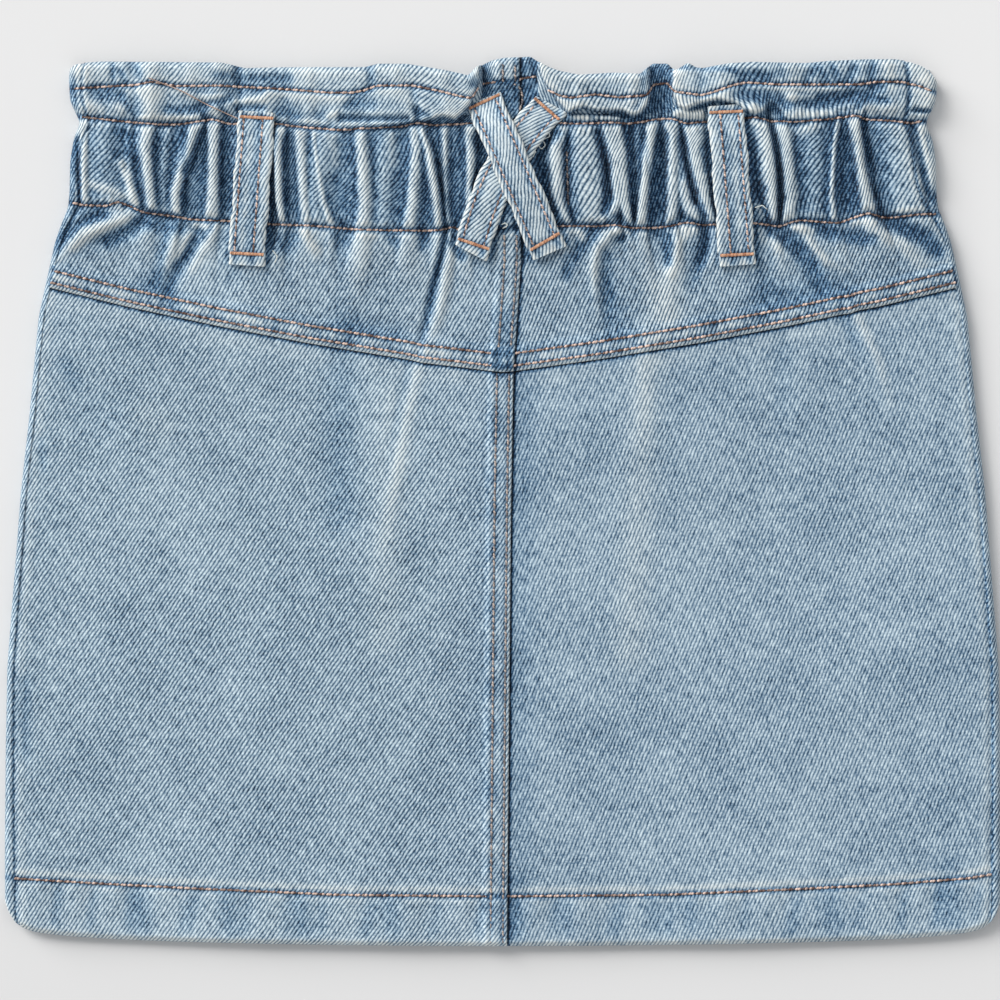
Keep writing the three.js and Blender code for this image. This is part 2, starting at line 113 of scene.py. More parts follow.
# Pleats of the elastic casing on the back. Each crest has an x at the upper stitch line, at
# three quarters, at one quarter and at the lower stitch line, half widths at the top, middle
# and bottom, a height, and how sharply its left and right flanks fall (1 soft, 3 sharp).
PLEATS = [
    ((-138.6, -139.6, -139.6, -139.0), (1.8, 1.8, 1.8), 2.6, 3, 1),
    ((-134.0, -134.0, -133.0, -131.0), (6.0, 5.6, 7.0), 2.3, 1, 1),
    ((-124.6, -124.6, -124.0, -122.0), (1.2, 1.2, 2.4), 1.2, 1, 1),
    ((-118.4, -119.4, -118.0, -117.0), (3.0, 2.2, 2.4), 3.8, 1, 2),
    ((-112.0, -112.6, -113.4, -113.4), (2.2, 1.6, 2.0), 1.5, 1, 1),
    ((-102.4, -104.8, -109.4, -109.0), (3.2, 2.0, 1.8), 4.1, 1, 3),
    ((-96.2, -96.3, -96.6, -97.2), (2.4, 2.0, 2.6), 4.0, 2, 2),
    ((-88.0, -88.0, -88.5, -88.8), (2.0, 2.4, 2.4), 2.4, 1, 1),
    ((-80.5, -80.8, -81.5, -82.0), (2.4, 2.4, 2.4), 2.2, 1, 1),
    ((-74.0, -75.2, -74.6, -73.4), (1.9, 1.4, 1.3), 3.9, 3, 3),
    ((-67.3, -66.9, -66.0, -65.0), (2.6, 2.2, 2.2), 3.4, 2, 1),
    ((-60.0, -61.0, -62.6, -62.0), (5.0, 4.6, 4.6), 2.9, 1, 1),
    ((-63.4, -62.6, -60.0, -57.2), (1.0, 1.3, 1.8), 3.2, 1, 2),
    ((-47.4, -46.6, -45.6, -46.4), (2.4, 2.6, 3.0), 3.5, 2, 1),
    ((-38.7, -39.7, -40.0, -40.3), (3.4, 3.2, 3.4), 1.9, 1, 1),
    ((-29.4, -28.6, -29.8, -31.2), (2.4, 2.4, 2.6), 3.2, 2, 1),
    ((-27.4, -24.8, -22.0, -20.9), (2.0, 1.8, 1.7), 4.8, 1, 3),
    ((-19.6, -19.4, -18.8, -18.2), (1.2, 1.3, 1.6), 2.0, 1, 1),
    ((-10.8, -10.4, -11.3, -12.6), (2.6, 1.4, 1.7), 3.7, 2, 2),
    ((-2.0, -1.0, 0.0, 1.0), (6.0, 6.0, 6.0), 1.6, 1, 1),
    ((10.0, 9.0, 8.0, 8.0), (3.0, 3.0, 3.0), 1.6, 1, 1),
    ((20.0, 17.6, 18.2, 20.7), (2.6, 2.4, 2.7), 3.7, 2, 2),
    ((26.7, 27.5, 29.0, 31.6), (5.0, 5.6, 6.6), 3.4, 2, 2),
    ((35.7, 37.6, 38.6, 35.0), (3.8, 2.6, 1.6), 3.9, 2, 2),
    ((36.4, 38.4, 40.2, 42.2), (3.2, 2.4, 1.7), 4.0, 2, 3),
    ((50.0, 48.6, 46.9, 45.8), (2.1, 1.7, 2.0), 4.4, 3, 2),
    ((56.0, 56.4, 56.8, 56.0), (2.8, 2.2, 2.2), 3.8, 2, 2),
    ((57.0, 57.8, 60.4, 64.6), (1.8, 2.2, 3.4), 3.5, 1, 3),
    ((62.7, 64.0, 67.0, 69.7), (3.6, 2.8, 1.9), 3.9, 3, 2),
    ((72.5, 73.5, 75.0, 76.5), (2.6, 2.6, 2.6), 2.4, 1, 1),
    ((79.0, 80.0, 81.5, 83.0), (2.4, 2.4, 2.4), 2.4, 1, 1),
    ((85.4, 87.4, 89.4, 90.2), (3.6, 3.0, 1.5), 4.4, 1, 3),
    ((93.0, 95.0, 96.6, 95.2), (2.8, 2.5, 3.0), 3.8, 3, 1),
    ((103.0, 103.4, 104.0, 104.0), (5.5, 5.5, 5.5), 2.2, 1, 1),
    ((111.9, 110.4, 109.4, 110.4), (1.1, 0.9, 1.5), 2.6, 2, 2),
    ((116.8, 118.1, 120.9, 122.6), (2.2, 2.0, 3.0), 4.6, 2, 3),
    ((129.6, 131.2, 134.0, 135.3), (5.2, 5.6, 6.4), 2.8, 1, 3),
]  # fmt: skip
# Slits where two pleats press together: points from top to bottom, half width, depth.
SLITS = [
    ([(-78.2, 117), (-78.3, 106), (-77.4, 90)], 0.9, 2.4),
    ([(-106, 124), (-106.2, 112), (-106, 97)], 1.3, 1.0),
    ([(-26, 125), (-23.2, 117), (-21.0, 107), (-19.8, 92)], 0.8, 2.2),
    ([(-9, 121), (-7, 113), (-9, 104)], 2.4, 1.2),
    ([(31.4, 123), (34.8, 113), (34.8, 101), (33.4, 97)], 1.3, 1.8),
    ([(34.4, 92.4), (36.4, 95.2), (39.4, 95.2), (42.2, 92.4)], 0.8, 1.2),
    ([(42.6, 125), (43.5, 112), (43.9, 94)], 0.8, 2.2),
    ([(53.4, 122), (52.4, 108), (51.2, 96)], 1.9, 1.4),
    ([(59.2, 124), (61.4, 110), (64, 100)], 1.1, 1.8),
    ([(56, 92.6), (59, 95.4), (62.4, 94.6), (65.6, 92.2)], 0.8, 1.2),
    ([(87.9, 131), (90.0, 122), (91.9, 110), (92.3, 94)], 0.7, 2.6),
    ([(115.0, 122), (113.8, 110), (114.6, 98)], 1.6, 1.0),
    ([(120.0, 126), (121.2, 112), (124.0, 101), (125.8, 96)], 1.1, 1.8),
    ([(136.2, 130.4), (142.6, 130.2)], 0.6, 1.2), ([(-28.7, 131), (-28, 127)], 1.2, 1.2),
    ([(-119.4, 96.6), (-114, 95.6), (-109, 94.6)], 1.1, 1.4),
    ([(-100.4, 124), (-103, 117), (-106, 110)], 0.9, 1.6), ([(-72.6, 121), (-72.2, 100)], 1.0, 1.2),
    ([(11.4, 119), (12.6, 113), (15, 108)], 1.6, 1.2),
    ([(120.6, 130), (121.8, 120), (124.0, 108)], 0.5, 1.6),
    ([(136.6, 126), (139.0, 114), (142.0, 101)], 1.0, 2.2),
    ([(-141.4, 126), (-141.7, 112), (-140.6, 98)], 0.6, 1.4), ([(-53, 93), (-50, 89)], 1.0, 1.2),
    ([(-18.6, 92.6), (-20, 84), (-24, 70)], 0.8, 1.4), ([(89, 92.4), (94, 87.6)], 1.4, 1.4),
]  # fmt: skip
# Longer folds of the back: points, half width, rise (or fall), and how pale it has worn.
FOLDS = [
    ([(-120, 96.3), (-140.3, 89.7), (-152, 80)], 2.6, 1.5, 0.16),
    ([(-121.3, 94.6), (-127.7, 91), (-136, 86)], 2.6, -1.1, -0.16),
    ([(-99.4, 92), (-104, 84.6), (-109.6, 75.6), (-112, 69)], 2.4, -1.2, -0.16),
    ([(-106.6, 92), (-110.4, 84), (-116, 75)], 2.6, 0.8, 0.12),
    ([(-76.7, 91), (-66.3, 86.7)], 3.0, -0.8, -0.14),
    ([(-66.3, 91), (-62.7, 81.7)], 1.8, 1.0, 0.14),
    ([(-26, 91), (-25.4, 85.3)], 1.2, -1.3, -0.22),
    ([(-19.4, 91), (-20.6, 81.7), (-24.2, 66), (-28.3, 49)], 1.4, -1.7, -0.30),
    ([(-17.2, 90), (-17.6, 81), (-21, 63.7), (-26, 50)], 2.0, 1.1, 0.10),
    ([(-28.7, 45), (-32.7, 27.3), (-36, 7.3), (-40, -14.3)], 2.2, 0.5, 0.12),
    ([(-31, 45), (-35, 27.3), (-38.4, 7.3)], 2.2, -0.5, -0.07),
    ([(7.3, 87), (11, 81)], 2.4, -0.6, -0.12),
    ([(38.3, 91), (35, 88.6), (31.6, 84.6), (30.2, 78), (31.6, 63.7)], 1.9, 1.5, 0.13),
    ([(34.4, 82), (34.8, 70), (35, 58)], 2.4, -1.0, -0.12),
    ([(43.4, 90), (36, 87.4)], 1.5, -1.2, -0.18),
    ([(67.8, 92), (67.8, 84.7), (64.7, 77.3)], 1.5, -1.8, -0.24),
    ([(103, 92), (113.7, 87.3)], 2.6, -1.2, -0.20),
    ([(90, 92), (95, 87), (100.4, 79), (104, 72)], 2.2, -1.3, -0.24),
    ([(99.6, 91), (103.4, 85), (107.6, 80.4), (113.7, 78)], 1.6, 1.2, 0.16),
    ([(126.7, 94), (135.3, 90.3), (145, 84)], 2.6, -1.3, -0.20),
    ([(124, 91), (133, 86.5), (140, 80)], 2.6, 0.8, 0.08),
    ([(115, 66), (117.3, 64), (124.7, 48.3), (129, 33)], 1.5, 0.6, 0.12),
    ([(113, 62), (119.6, 48)], 2.0, -0.6, -0.08),
    ([(46.8, 57), (46.8, 15.7)], 2.6, 0.35, 0.05),
    ([(93, 51.7), (93, 23)], 4.0, -0.35, -0.04),
    ([(-136, 30), (-126, 26)], 9.0, -0.3, -0.03),
    ([(60, 92), (58, 80), (55, 66)], 3.4, 0.7, 0.05),
    ([(84, 90), (86, 76), (90, 66)], 3.0, -0.6, -0.06),
    ([(-45, 91), (-48, 78), (-50, 66)], 3.4, 0.7, 0.05),
    ([(-53, 91), (-56, 80)], 2.6, -0.7, -0.08),
    ([(-86, 90), (-90, 78), (-93, 68)], 3.2, -0.5, -0.06),
]  # fmt: skip
# Flaps of the ruffle that fold over their neighbours: outline, and height along x.
FLAPS = [
    ([(-66, 152), (-66, 118), (-45, 124.3), (-25.3, 126.9), (-20, 128.3), (-15.7, 127.2),
      (-12.7, 129.2), (-10.7, 131.7), (-10, 134), (-8, 137.3), (-7.2, 140.7), (-7.2, 152)],
     [(-66, 6.4), (-45, 7.6), (-22, 9.6), (-8, 10.2)]),
    ([(12, 152), (11.7, 142.7), (15, 137), (18.3, 133), (21.7, 128.8), (23.7, 130.4), (27, 131.2),
      (30.7, 130), (40, 130), (43.3, 128.2), (46, 129.4), (48.4, 132), (49.2, 136), (48.4, 152)],
     [(12, 9.6), (22, 10.2), (36, 9.8), (49, 10)]),
    ([(56.6, 152), (56.3, 142.7), (56, 136.7), (58, 131.7), (60.7, 130.6), (67.3, 132.8),
      (72, 133.6), (77.3, 132.4), (80, 130.4), (84, 129.3), (87.4, 130.2), (88.6, 133),
      (91, 132), (95, 127), (124, 125), (124, 152)],
     [(56, 10.6), (75, 10.2), (88, 9.4), (100, 8), (112, 6.8), (124, 6.0)]),
]  # fmt: skip
# Height of the ruffle along x where no flap lies on it.
RUFFLE_REST = [
    (-150, 5.2), (-144, 5.8), (-125, 7.4), (-93, 7.6), (-87, 6.4), (-60, 6.6), (-12, 5.8),
    (0, 5.9), (11, 5.8), (55, 5.6), (95, 6.2), (120, 7.2), (134, 7.0), (150, 5.4),
]  # fmt: skip
# Shallow gathers of the ruffle: points, half width, rise.
GATHERS = [
    ([(-140, 145), (-139, 130)], 2.2, 0.8), ([(-134, 138), (-131, 130)], 2.4, -0.8),
    ([(-124, 146), (-123, 136), (-122, 128)], 1.8, -0.9), ([(-117, 146), (-117, 128)], 2.6, 0.8),
    ([(-111, 135), (-100, 132)], 2.6, -0.9), ([(-104, 146), (-104, 138)], 2.4, 0.5),
    ([(-95, 146), (-95.6, 128)], 2.6, 0.7), ([(-88.6, 146), (-87.6, 139), (-88, 130)], 1.4, -1.2),
    ([(-73, 134), (-69, 127)], 2.2, -1.0), ([(-61, 129), (-57, 126)], 2.6, -0.9),
    ([(-54, 127.6), (-46, 127.6), (-32, 127.6)], 1.0, -1.0), ([(-43, 129), (-41, 127)], 2, 0.6),
    ([(-80, 146), (-79, 130)], 2.4, 0.5), ([(-65, 145), (-64, 132)], 2.4, 0.5),
    ([(-36, 145), (-35, 138)], 2.2, 0.6), ([(-30, 138), (-29, 127)], 1.5, -0.9),
    ([(-20, 144), (-18, 129)], 2.2, 0.6), ([(-3, 146), (-2, 128)], 2.2, 0.5),
    ([(6, 147), (6, 128)], 1.8, -0.5), ([(26, 142), (25, 131)], 2.0, 0.6),
    ([(34, 142), (35, 131)], 2.4, -0.2), ([(43, 142), (43, 130)], 2.2, 0.6),
    ([(66, 146), (66, 134)], 2.0, -0.6), ([(72, 146), (74, 134)], 2.2, 0.5),
    ([(81, 138), (86, 131), (92, 129)], 2.2, -0.9), ([(96, 146), (97, 129)], 2.4, 0.6),
    ([(103, 133), (112, 134), (123, 137)], 2.2, -1.0), ([(110, 146), (111, 139)], 2.4, 0.5),
    ([(119, 134), (118, 128)], 2.4, 0.8), ([(128, 146), (129, 129)], 2.6, 0.7),
    ([(134.8, 146), (135.7, 137), (134.8, 129)], 0.45, -1.3),
]  # fmt: skip
# Where the dye has stayed dark in a hollow or worn off a puff, and painted shade in recesses, creases and
# beside the loops: points, half width, tone.
WASH_AND_SHADE = [
    # above the ruffle's stitches
    ([(-142, 143), (-133, 143)], 2.5, 0.12), ([(-130.3, 145.6), (-130, 139)], 1.0, -0.3),
    ([(-127.6, 143.6), (-126, 140)], 1.4, -0.36), ([(-122, 145), (-121, 142)], 1.2, -0.26),
    ([(-127, 142), (-91, 142)], 2.5, 0.08), ([(-89, 145.3), (-88.4, 138.7)], 0.9, -0.3),
    ([(-95, 142), (-88, 141), (-72, 141)], 2.2, -0.34), ([(-69, 142), (-47, 142)], 2.5, 0.1),
    ([(-44.5, 145), (-43.6, 139)], 1.4, -0.22), ([(-41, 143), (-21, 141)], 2.2, 0.08),
    ([(-7, 143.6), (-5, 141.6)], 1.5, -0.25), ([(18, 141), (44, 140.6)], 2.6, 0.08),
    ([(50.4, 145), (51.4, 138), (52.6, 132)], 3.0, -0.95), ([(49.8, 144), (50, 134)], 0.8, -0.6),
    ([(54, 144), (54.6, 136)], 1.6, -0.5), ([(61, 144.6), (77, 144)], 0.9, -0.34),
    ([(80, 142), (92, 142.6)], 2.2, -0.16), ([(105.6, 144), (108, 140)], 1.8, -0.3),
    ([(109.6, 145), (112, 140)], 1.4, -0.45), ([(118, 137), (126, 138.4)], 1.8, -0.34),
    ([(116.6, 136), (118.6, 132)], 1.2, -0.4), ([(117, 144.6), (114.6, 140)], 1.6, -0.36),
    ([(123, 145.4), (122.4, 140.4)], 1.6, -0.3), ([(128.5, 145), (129.5, 141)], 2.4, 0.12),
    # between the ruffle's stitches and the casing, on the left
    ([(-144, 139.5), (-143.5, 134.5)], 2.0, -0.34), ([(-137, 136.6), (-128, 136)], 2.0, -0.32),
    ([(-137, 131.5), (-127, 131.5)], 2.2, 0.12),
    ([(-127.5, 135.5), (-124.5, 131), (-122, 128.5)], 1.4, -0.3),
    ([(-122, 137), (-112, 135), (-92, 135.6)], 2.6, 0.16), ([(-119, 136), (-117.5, 129.5)], 2.2, 0.12),
    ([(-112, 131), (-104, 130.6), (-98, 132.4), (-91, 134.6)], 1.3, -0.46),
    ([(-122, 128.2), (-112, 127.8), (-102, 127.8)], 0.9, 0.4),
    ([(-101, 132), (-99, 127.6)], 1.3, -0.34), ([(-96.5, 131.5), (-95, 128)], 1.5, 0.12),
    ([(-94, 131), (-91.5, 128)], 1.2, -0.34), ([(-89, 131.4), (-80, 131.4)], 1.0, -0.3),
    ([(-89, 133.4), (-80, 134.2)], 1.0, 0.3), ([(-104, 137), (-94, 136.6), (-80, 137)], 1.0, -0.3),
    ([(-78, 135.6), (-66, 135), (-54, 134.6)], 2.4, 0.16), ([(-75, 130.4), (-69, 128.4)], 1.6, -0.28),
    ([(-54, 128.2), (-46, 127.6), (-32, 127.6)], 1.0, -0.5), ([(-49, 132.6), (-44, 132.4)], 2.0, -0.24),
    ([(-58, 128.6), (-56, 129.4)], 1.4, 0.3), ([(-52, 132), (-44.5, 138)], 1.6, -0.22),
    ([(-40, 136.6), (-32, 134.6), (-28, 131)], 2.2, 0.12), ([(-28.4, 130.2), (-25, 128.2)], 1.4, -0.4),
    ([(-69, 127.4), (-60, 126.6)], 0.9, 0.14),
    # and on the right
    ([(-8, 139), (-4, 136), (1, 137), (9, 137)], 2.8, -0.62),
    ([(-6, 132), (2, 133), (9, 133)], 2.6, -0.6), ([(6.8, 147), (6.6, 139)], 2.2, -0.4),
    # Near-black strokes in the centre recess and beside the crossed loops are painted shade.
    ([(9.8, 147), (11.8, 141), (15, 135), (19.6, 129.6)], 1.3, -0.8),
    ([(18.5, 123), (12.2, 117), (11.4, 113), (14.6, 104), (19.4, 92.8)], 1.3, -0.6),
    ([(-7, 144.6), (-6.6, 140), (-8.6, 134.6), (-11.6, 130.4), (-14.4, 127.6)], 0.8, -0.9),
    ([(20.6, 129.4), (28, 130.2), (34, 129.6), (44, 128)], 0.5, -0.5),
    ([(22.6, 128.8), (28, 128.2)], 1.2, 0.5), ([(31, 128.4), (38, 128)], 1.2, 0.4),
    ([(46.6, 143), (46.4, 135), (44, 131)], 1.4, -0.2), ([(58.6, 130), (65, 129.4)], 1.7, 1.1),
    ([(66.6, 131), (67.4, 121)], 0.8, 0.34), ([(56.8, 145), (59.6, 145.2)], 1.0, -0.8),
    ([(83.4, 132), (83.2, 128)], 1.6, 0.5), ([(95, 134.6), (103, 134.8)], 1.4, 0.5),
    ([(84, 129.6), (88, 131)], 0.8, 0.2), ([(120, 134.6), (128, 133.8)], 1.4, -0.34),
    ([(103.6, 145), (101, 140.6)], 1.4, -0.24), ([(79, 136), (86, 136), (94, 133)], 2.4, -0.4),
    ([(82, 138), (100, 137.6), (122, 137.8)], 0.7, 0.16), ([(84, 133.6), (94, 132.8)], 1.8, -0.26),
    ([(79, 141.4), (87, 141.4)], 2.0, -0.25), ([(99, 134), (106, 134), (115, 135.4)], 2.2, -0.5),
    ([(99, 130), (108, 129.4)], 1.6, 0.12), ([(113, 131), (122, 131.4), (131, 131.4)], 1.8, 0.12),
    ([(141, 140), (143, 133), (141.6, 126)], 2.8, 0.28),
    ([(112, 129.6), (118, 131.4), (122, 134.8)], 1.2, -0.22),
    # below the casing, on the left
    ([(-142, 97), (-133, 95.5)], 1.8, -0.34),
    ([(-133, 96), (-141, 93), (-146, 88), (-149, 84)], 1.6, -0.5),
    ([(-119, 96.6), (-129, 92.2), (-137, 89.6), (-143, 85)], 1.5, 0.26),
    ([(-118, 95.4), (-124, 90.6), (-131, 87)], 2.4, -0.36), ([(-97, 92), (-100, 88)], 1.0, -0.2),
    ([(-103, 86), (-109.8, 76), (-112.6, 69)], 1.6, -0.3),
    ([(-121, 95), (-116, 93), (-108, 92)], 2.8, -0.6),
    ([(-112, 88), (-114, 80), (-116, 73)], 1.8, -0.24), ([(-104.6, 89), (-108, 82)], 1.2, 0.3),
    ([(-102, 92.6), (-99, 92)], 1.2, 0.3), ([(-95, 92), (-99.4, 85), (-104, 78)], 1.8, 0.12),
    ([(-80, 89), (-74, 85.6)], 3.0, -0.3), ([(-56, 89.4), (-53, 87.5)], 1.6, -0.3),
    ([(-39, 90), (-36, 86.5)], 1.4, -0.28), ([(-27.3, 92), (-27, 85)], 1.0, -0.36),
    ([(-15.6, 93), (-16.8, 86), (-13.6, 82)], 1.3, -0.6), ([(-45, 82), (-20, 80)], 7.0, 0.05),
    ([(-66, 90), (-62, 84)], 1.8, 0.18), ([(-50, 89.5), (-43, 88.5)], 1.4, 0.14),
    # and on the right
    ([(6.5, 88), (7.5, 82)], 1.6, -0.28), ([(29.6, 90), (27.4, 86), (22, 80), (21, 76)], 2.0, -0.26),
    ([(31, 91.6), (30, 89)], 1.4, -0.4), ([(24, 91), (27, 87.6)], 1.4, 0.3),
    ([(38, 90.6), (42, 90)], 1.0, 0.3), ([(38.4, 91.6), (38.2, 89.6)], 1.3, 0.3),
    ([(50, 91), (55, 88.6), (55.4, 80)], 1.6, -0.5), ([(60.4, 92.6), (60.2, 90.6)], 1.4, 0.34),
    ([(63.4, 91), (58.6, 86.5), (56, 76)], 1.5, 0.22),
    ([(66.7, 94), (67.4, 88), (65.6, 80)], 1.7, -0.5), ([(64.5, 85), (63.5, 74)], 2.4, -0.12),
    ([(97, 91.6), (103, 90.6)], 1.2, 0.36),
    ([(90.4, 91), (96, 89), (102.8, 80), (106.4, 71)], 2.4, -0.5), ([(86, 89), (91, 85)], 1.8, 0.14),
    ([(107, 91), (116, 88.6), (123, 88)], 2.0, -0.4), ([(117, 93.6), (124, 93)], 1.0, 0.24),
    ([(111, 86), (121, 82)], 5.0, 0.05),
    ([(127, 94.5), (134, 92), (141, 88.5), (144.5, 84)], 2.4, -0.36),
    ([(120, 92), (132, 86), (139, 79)], 2.2, 0.1),
    # beside the right side seam
    ([(136.6, 126), (139.2, 114), (142.4, 101)], 0.6, -0.5),
    ([(139.4, 124), (142, 113), (144, 103)], 1.2, 0.4),
    # in the casing
    ([(-129, 124), (-125, 122), (-122.6, 114), (-120.6, 104), (-119.6, 98)], 1.3, -0.36),
    ([(-138, 106), (-129, 103.4), (-123.4, 101.6)], 1.7, 0.24),
    ([(-130.4, 100), (-128, 99.6)], 1.0, 0.4), ([(-127, 113), (-124.6, 106), (-122.4, 100)], 1.5, 0.55),
    ([(-121, 106), (-119.6, 98)], 0.7, -0.4), ([(-139, 118), (-137, 106)], 1.6, 0.12),
    ([(-94, 124), (-94, 102)], 0.8, -0.3), ([(-56.6, 121), (-55.6, 113)], 1.8, 0.2),
    ([(-37, 122), (-36, 113)], 1.8, 0.2), ([(-55, 108), (-53, 98)], 2.2, -0.12),
    ([(-19.2, 124), (-18.8, 113)], 1.1, 0.26), ([(-17.2, 114), (-17, 96)], 1.1, -0.24),
    ([(-14, 125), (-13.6, 112)], 1.0, -0.3), ([(-8.4, 120), (-5.6, 114), (-8.8, 105)], 1.6, -0.5),
    ([(-56, 110), (-36, 108)], 8.0, 0.06), ([(47, 123), (49, 108), (49, 98)], 1.0, -0.3),
    ([(54.6, 122), (54, 108)], 1.0, -0.24), ([(58.6, 121), (59.6, 108)], 0.9, -0.4),
    ([(60.6, 121), (61.6, 112), (65.6, 100), (67.6, 95)], 0.9, -0.5),
    ([(66, 118), (67.6, 110)], 0.8, -0.3), ([(98, 123.6), (104, 126)], 2.2, 0.3),
    ([(84.8, 99), (87, 95.6)], 1.2, 0.46), ([(84.4, 105.6), (87, 104.4)], 1.3, -0.44),
    ([(83.4, 120), (85, 108)], 0.9, -0.2), ([(84.6, 106), (86.2, 100), (88.2, 95)], 1.0, -0.4),
    ([(97, 120), (98.4, 108)], 0.9, -0.2), ([(107.6, 122), (107.4, 98)], 1.2, -0.16),
    ([(116.6, 119), (117.4, 104)], 0.9, -0.34), ([(113.4, 120), (114, 100)], 1.6, -0.16),
    ([(129, 124), (131, 114), (135, 100)], 2.6, -0.12), ([(140, 96.8), (132, 97)], 1.2, 0.1),
    ([(137, 131), (142, 130.4)], 0.7, -0.4), ([(-154.5, 20), (-153.5, 12)], 1.6, -0.1),
    ([(-146, 46), (-143, 40)], 3.0, -0.08), ([(-160, -60), (-160, -84)], 2.4, -0.12),
    # broad changes of tone below the casing
    ([(-117, 73), (-112, 66)], 4.5, -0.22), ([(88, 68), (100, 69), (112, 69)], 6.0, -0.22),
    ([(-53, 60), (-55, 20), (-54, -5)], 6.0, -0.10), ([(-48, 57), (-36, 56)], 4.0, -0.12),
    ([(1, 62), (1, 46)], 4.5, -0.16), ([(1, 42), (0, -10), (-3, -60), (-5, -95)], 9.0, -0.06),
    ([(34, 70), (40, 56), (36, 50)], 5.0, -0.12),
    ([(53, 76), (54, 60), (47, 40), (45, 0), (42, -50)], 6.0, 0.09), ([(52, 72), (55, 62)], 5.0, 0.12),
    ([(-36, 34), (-38, 0), (-40, -45)], 6.0, 0.07), ([(-20, 50), (-16, 46)], 4.0, 0.1),
    ([(-119, 29), (-116, 26)], 6.0, 0.06), ([(-122, -130), (-121, -140)], 4.5, -0.14),
    ([(-92, -131), (-91, -141)], 4.0, -0.12), ([(-68, -132), (-67, -142)], 3.6, -0.13),
    ([(-38, -133), (-37, -141)], 3.4, -0.12), ([(1, -128), (2, -142)], 4.5, -0.18),
    ([(20, -133), (21, -142)], 3.4, -0.10), ([(50, -131), (51, -140)], 4.0, -0.12),
    ([(62, -132), (63, -140)], 3.4, -0.12), ([(109, -130), (110, -139)], 5.0, -0.12),
    ([(148, -124), (149, -138)], 5.0, -0.14),
]  # fmt: skip
# Belt loops: lower end, upper end, and rows of stitches off the centre line.
LOOPS = {
    "belt_loop_left": ((-85.6, 78.8), (-81.9, 130.0), (-4.2, 2.1)),
    "belt_loop_right": ((78.2, 78.8), (74.1, 132.2), (-2.0, 4.0)),
    "cross_loop_under": ((-10.6, 82.8), (16.1, 132.6), (-4.0, 3.6)),
    "cross_loop_over": ((15.6, 82.8), (-6.6, 134.4), (-4.0, 3.8)),
}
LAP = 1.0  # how far the right half runs in under the left one
FELL = 7  # width of a felled seam
LEAST_HEIGHT = 3.4  # the back lies this far above the table at least
CENTRE_ROWS = (1.4, 5.5)  # rows of stitches, from the felled seam's free edge
YOKE_ROWS = (1.8, 5.9)
# The yoke, casing and ruffle: shares of the height of a yoke's mesh, and how many rows each has.
YOKE_BANDS = ((0, 0.44, 44), (0.44, 0.8, 50), (0.8, 1, 40))
# How far a loop bows off its line halfway along, when the one above it drags it aside.
BOW = {"cross_loop_under": -4.2}
# Frayed ends that curl out beside the loops.
FRAYS = [
    [(13.0, 122.5), (15.2, 123.6), (15.6, 121.8), (13.8, 121.0)],
    [(11.4, 119.4), (13.4, 120.4), (14.2, 118.8), (12.8, 117.6), (12.0, 118.6)],
    [(9.2, 117.4), (10.8, 116.8), (10.2, 115.4)],
    [(84.4, 98.2), (86.4, 98.8), (87.6, 97.8)],
    [(-76.4, 83.4), (-75.2, 81.8), (-75.8, 80.2)],
    [(0.0, 92.6), (1.0, 92.9), (1.4, 91.9), (0.4, 91.4)],
]
# The two bartacks of each loop: share of its length, and rise along it per millimetre across.
TACKS = {
    "belt_loop_left": ((0.076, 0.02), (0.962, 0.02)),
    "belt_loop_right": ((0.067, -0.03), (0.957, -0.04)),
    "cross_loop_under": ((0.056, 0.16), (0.962, -0.22)),
    "cross_loop_over": ((0.075, 0.12), (0.982, 0.03)),
}


def eased(points, radius):
    """A function of one number through the given points, with its corners rounded."""
    xs, ys = (np.array(column, float) for column in zip(*points))
    fine = np.arange(xs[0], xs[-1], 0.25)
    half = max(1, int(radius / 0.25))
    kernel = np.hanning(2 * half + 3)[1:-1]
    padded = np.pad(np.interp(fine, xs, ys), half, mode="edge")
    values = np.convolve(padded, kernel / kernel.sum(), "valid")
    return lambda t: np.interp(t, fine, values)


def eased_path(points, steps=40):
    """Points along a path, with its corners rounded off."""
    share = np.linspace(0, 1, steps)
    knots = np.linspace(0, 1, len(points))
    columns = [np.interp(share, knots, column) for column in zip(*points)]
    padded = [np.pad(column, 4, mode="reflect", reflect_type="odd") for column in columns]
    kernel = np.hanning(11)[1:-1]
    return np.stack([np.convolve(column, kernel / kernel.sum(), "valid") for column in padded], axis=1)


def hump(distance, width):
    """1 at no distance, falling off on both sides as a bell."""
    return np.exp(-((distance / width) ** 2))


def smooth(value, low, high):
    """0 below low, 1 above high, eased between."""
    t = np.clip((value - low) / (high - low), 0, 1)
    return t * t * (3 - 2 * t)


half_width = eased(OUTLINE, 3)
seam_in_left = eased(SEAM_IN_LEFT, 4)
seam_in_right = eased(SEAM_IN_RIGHT, 4)
yoke_seam = eased(YOKE_SEAM, 1)
casing_high = eased(CASING_HIGH, 2)
casing_low = eased(CASING_LOW, 2)
ruffle_line = eased(RUFFLE_LINE, 1)
ruffle_edge = eased(RUFFLE_EDGE, 0.75)
ruffle_rest = eased(RUFFLE_REST, 4)


def left_seam(y):
    return -half_width(y) + seam_in_left(y)


def right_seam(y):
    return half_width(y) - seam_in_right(y)


def centre_seam(y):
    """The free edge of the left side's felled seam, which laps over the right side."""
    return np.interp(y, [-150, 0, 44, 80, 131, 150], [1.3, 2.7, 3.5, 6.0, 5.6, 5.4])


def span(side, y):
    """From where to where one half of the back reaches at a height y."""
    if side < 0:
        return left_seam(y), centre_seam(y)
    return centre_seam(y) - LAP, right_seam(y)


def hem_edge(x):
    u = np.clip(np.abs(x) / 166.3, 0, 1)
    return -147.9 + 3.4 * u**2 + 3.0 * u**10 + 9 * u**60


def hem_stitch(x):
    return np.interp(
        x,
        [-170, -155, -130, -100, -54, 0, 54, 100, 130, 155, 170],
        [-125, -126, -127.5, -129, -131, -131.5, -131, -129, -127.5, -125.5, -123],
    )


